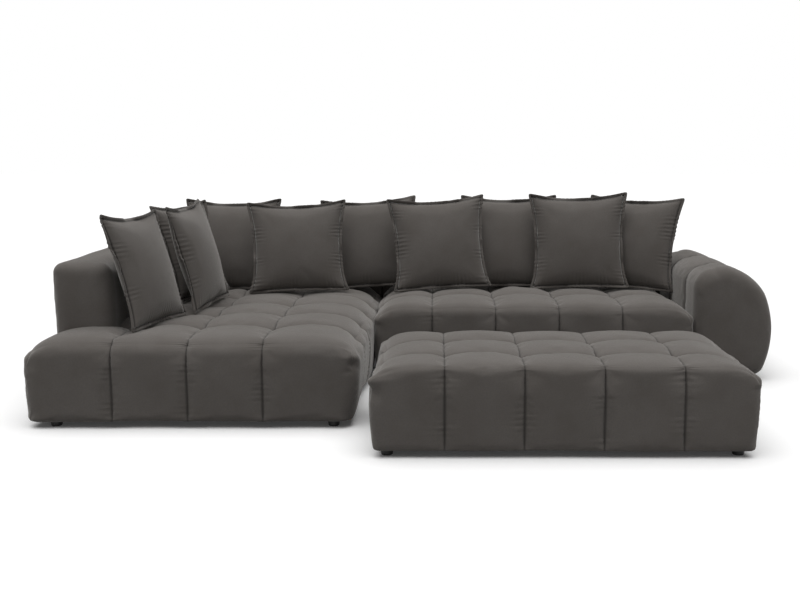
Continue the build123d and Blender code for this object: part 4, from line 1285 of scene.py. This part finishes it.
class SOFA_OT_carcass(bpy.types.Operator):
    """Finish the timber, steel, webbing and feet that the covers sit on"""

    bl_idname = "sofa.carcass"
    bl_label = "Frame and feet"

    def execute(self, context):
        finishes = (("feet", foot_plastic, "foot_plastic"), ("studs", zinc_steel, "zinc_steel"),
                    ("bolts", zinc_steel, "zinc_steel"), ("clips", zinc_steel, "zinc_steel"),
                    ("tongues", zinc_steel, "zinc_steel"), ("rails", pine, "pine"), ("frame", pine, "pine"),
                    ("webbing", black_textile, "black_textile"))
        for name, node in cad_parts.items():
            for word, finish, slot in finishes:
                if word in name:
                    node.data.materials.clear()
                    node.data.materials.append(finish())
        return {"FINISHED"}


def soft_sun(name, tilt, spread, power):
    """A broad lamp at a great distance, tilted forward and to the right in degrees."""
    lamp = bpy.data.lights.new(name, "SUN")
    lamp.energy = power
    lamp.angle = math.radians(spread)
    lit = bpy.data.objects.new(name, lamp)
    bpy.context.scene.collection.objects.link(lit)
    lit.rotation_euler = (math.radians(tilt[0]), math.radians(tilt[1]), 0)


class SOFA_OT_stage(bpy.types.Operator):
    """Lay the floor, set the lamps and the camera"""

    bl_idname = "sofa.stage"
    bl_label = "Studio"

    def execute(self, context):
        stage = context.scene.sofa_stage
        scene = context.scene
        corners = [(x * FLOOR_REACH, y * FLOOR_REACH, 0) for x, y in ((-1, -1), (1, -1), (1, 1), (-1, 1))]
        floor = add_piece("studio_floor", corners, [(0, 1, 2, 3)])
        floor.data.materials.append(floor_paint(stage.floor))
        set_world()
        soft_sun("overhead", tilt=(7, -2), spread=85, power=2.9)
        lens = bpy.data.cameras.new("camera")
        lens.sensor_width = 36.0
        lens.lens = stage.lens
        lens.shift_x = stage.shift
        eye = bpy.data.objects.new("camera", lens)
        scene.collection.objects.link(eye)
        eye.location = stage.eye
        eye.rotation_euler = (math.radians(90 - stage.pitch), 0, 0)
        scene.camera = eye
        scene.view_settings.view_transform = "Standard"
        return {"FINISHED"}


def seen_directly(tree):
    """1 for rays from the camera, mirrors and glass, 0 for the light that a surface throws on others."""
    path = add_node(tree, "ShaderNodeLightPath")
    shown = path.outputs["Is Camera Ray"]
    for other in ("Is Glossy Ray", "Is Transmission Ray"):
        most = add_node(tree, "ShaderNodeMath", {"operation": "MAXIMUM"})
        tree.links.new(shown, most.inputs[0])
        tree.links.new(path.outputs[other], most.inputs[1])
        shown = most.outputs[0]
    return shown


def floor_paint(colour):
    """Matt white floor that throws little light back up."""
    made, tree = new_material("studio_white")
    shader = tree.nodes["Principled BSDF"]
    tone = mixed(tree, seen_directly(tree), tuple(FLOOR_BOUNCE * c for c in colour), tuple(colour))
    tree.links.new(tone, shader.inputs["Base Color"])
    shader.inputs["Roughness"].default_value = 0.9
    shader.inputs["Specular IOR Level"].default_value = 0.0
    shader.inputs["Emission Color"].default_value = (*colour, 1)
    glow = add_node(tree, "ShaderNodeMapRange", To_Max=FLOOR_GLOW)
    tree.links.new(seen_directly(tree), glow.inputs["Value"])
    tree.links.new(glow.outputs["Result"], shader.inputs["Emission Strength"])
    return made


def set_world():
    """White to the camera and to gloss, a soft fill for everything else."""
    world = bpy.data.worlds.new("studio")
    bpy.context.scene.world = world
    world.use_nodes = True
    tree = world.node_tree
    background = tree.nodes["Background"]
    background.inputs["Color"].default_value = (1, 1, 1, 1)
    strength = add_node(tree, "ShaderNodeMapRange", To_Min=WORLD_FILL, To_Max=1.0)
    tree.links.new(seen_directly(tree), strength.inputs["Value"])
    tree.links.new(strength.outputs["Result"], background.inputs["Strength"])


class SOFA_PT_panel(bpy.types.Panel):
    """Sizes, colours and build steps of the sofa"""

    bl_idname = "SOFA_PT_panel"
    bl_label = "Corner sofa"
    bl_space_type = "VIEW_3D"
    bl_region_type = "UI"
    bl_category = "Sofa"

    def draw(self, context):
        for group in SETTINGS:
            box = self.layout.box()
            values = getattr(context.scene, group)
            for key in values.bl_rna.properties.keys():
                if key not in ("rna_type", "name"):
                    box.prop(values, key)
        for step in STEPS:
            self.layout.operator(step.bl_idname)


SETTINGS = {"sofa_fabric": SofaFabric, "sofa_tufting": SofaTufting, "sofa_cushions": SofaCushions,
            "sofa_stage": SofaStage}
STEPS = (SOFA_OT_seats, SOFA_OT_backs, SOFA_OT_arm, SOFA_OT_cushions, SOFA_OT_linings, SOFA_OT_carcass,
         SOFA_OT_stage)


def register():
    """Add the settings, steps and panel."""
    for made in (*SETTINGS.values(), *STEPS, SOFA_PT_panel):
        bpy.utils.register_class(made)
    for name, group in SETTINGS.items():
        setattr(bpy.types.Scene, name, PointerProperty(type=group))


def unregister():
    """Take the settings, steps and panel away again."""
    for name in SETTINGS:
        delattr(bpy.types.Scene, name)
    for made in reversed((*SETTINGS.values(), *STEPS, SOFA_PT_panel)):
        bpy.utils.unregister_class(made)


def main():
    """Build every piece in order."""
    register()
    bpy.ops.sofa.seats()
    bpy.ops.sofa.backs()
    bpy.ops.sofa.arm()
    bpy.ops.sofa.cushions()
    bpy.ops.sofa.linings()
    bpy.ops.sofa.carcass()
    bpy.ops.sofa.stage()


if __name__ == "__main__":
    main()
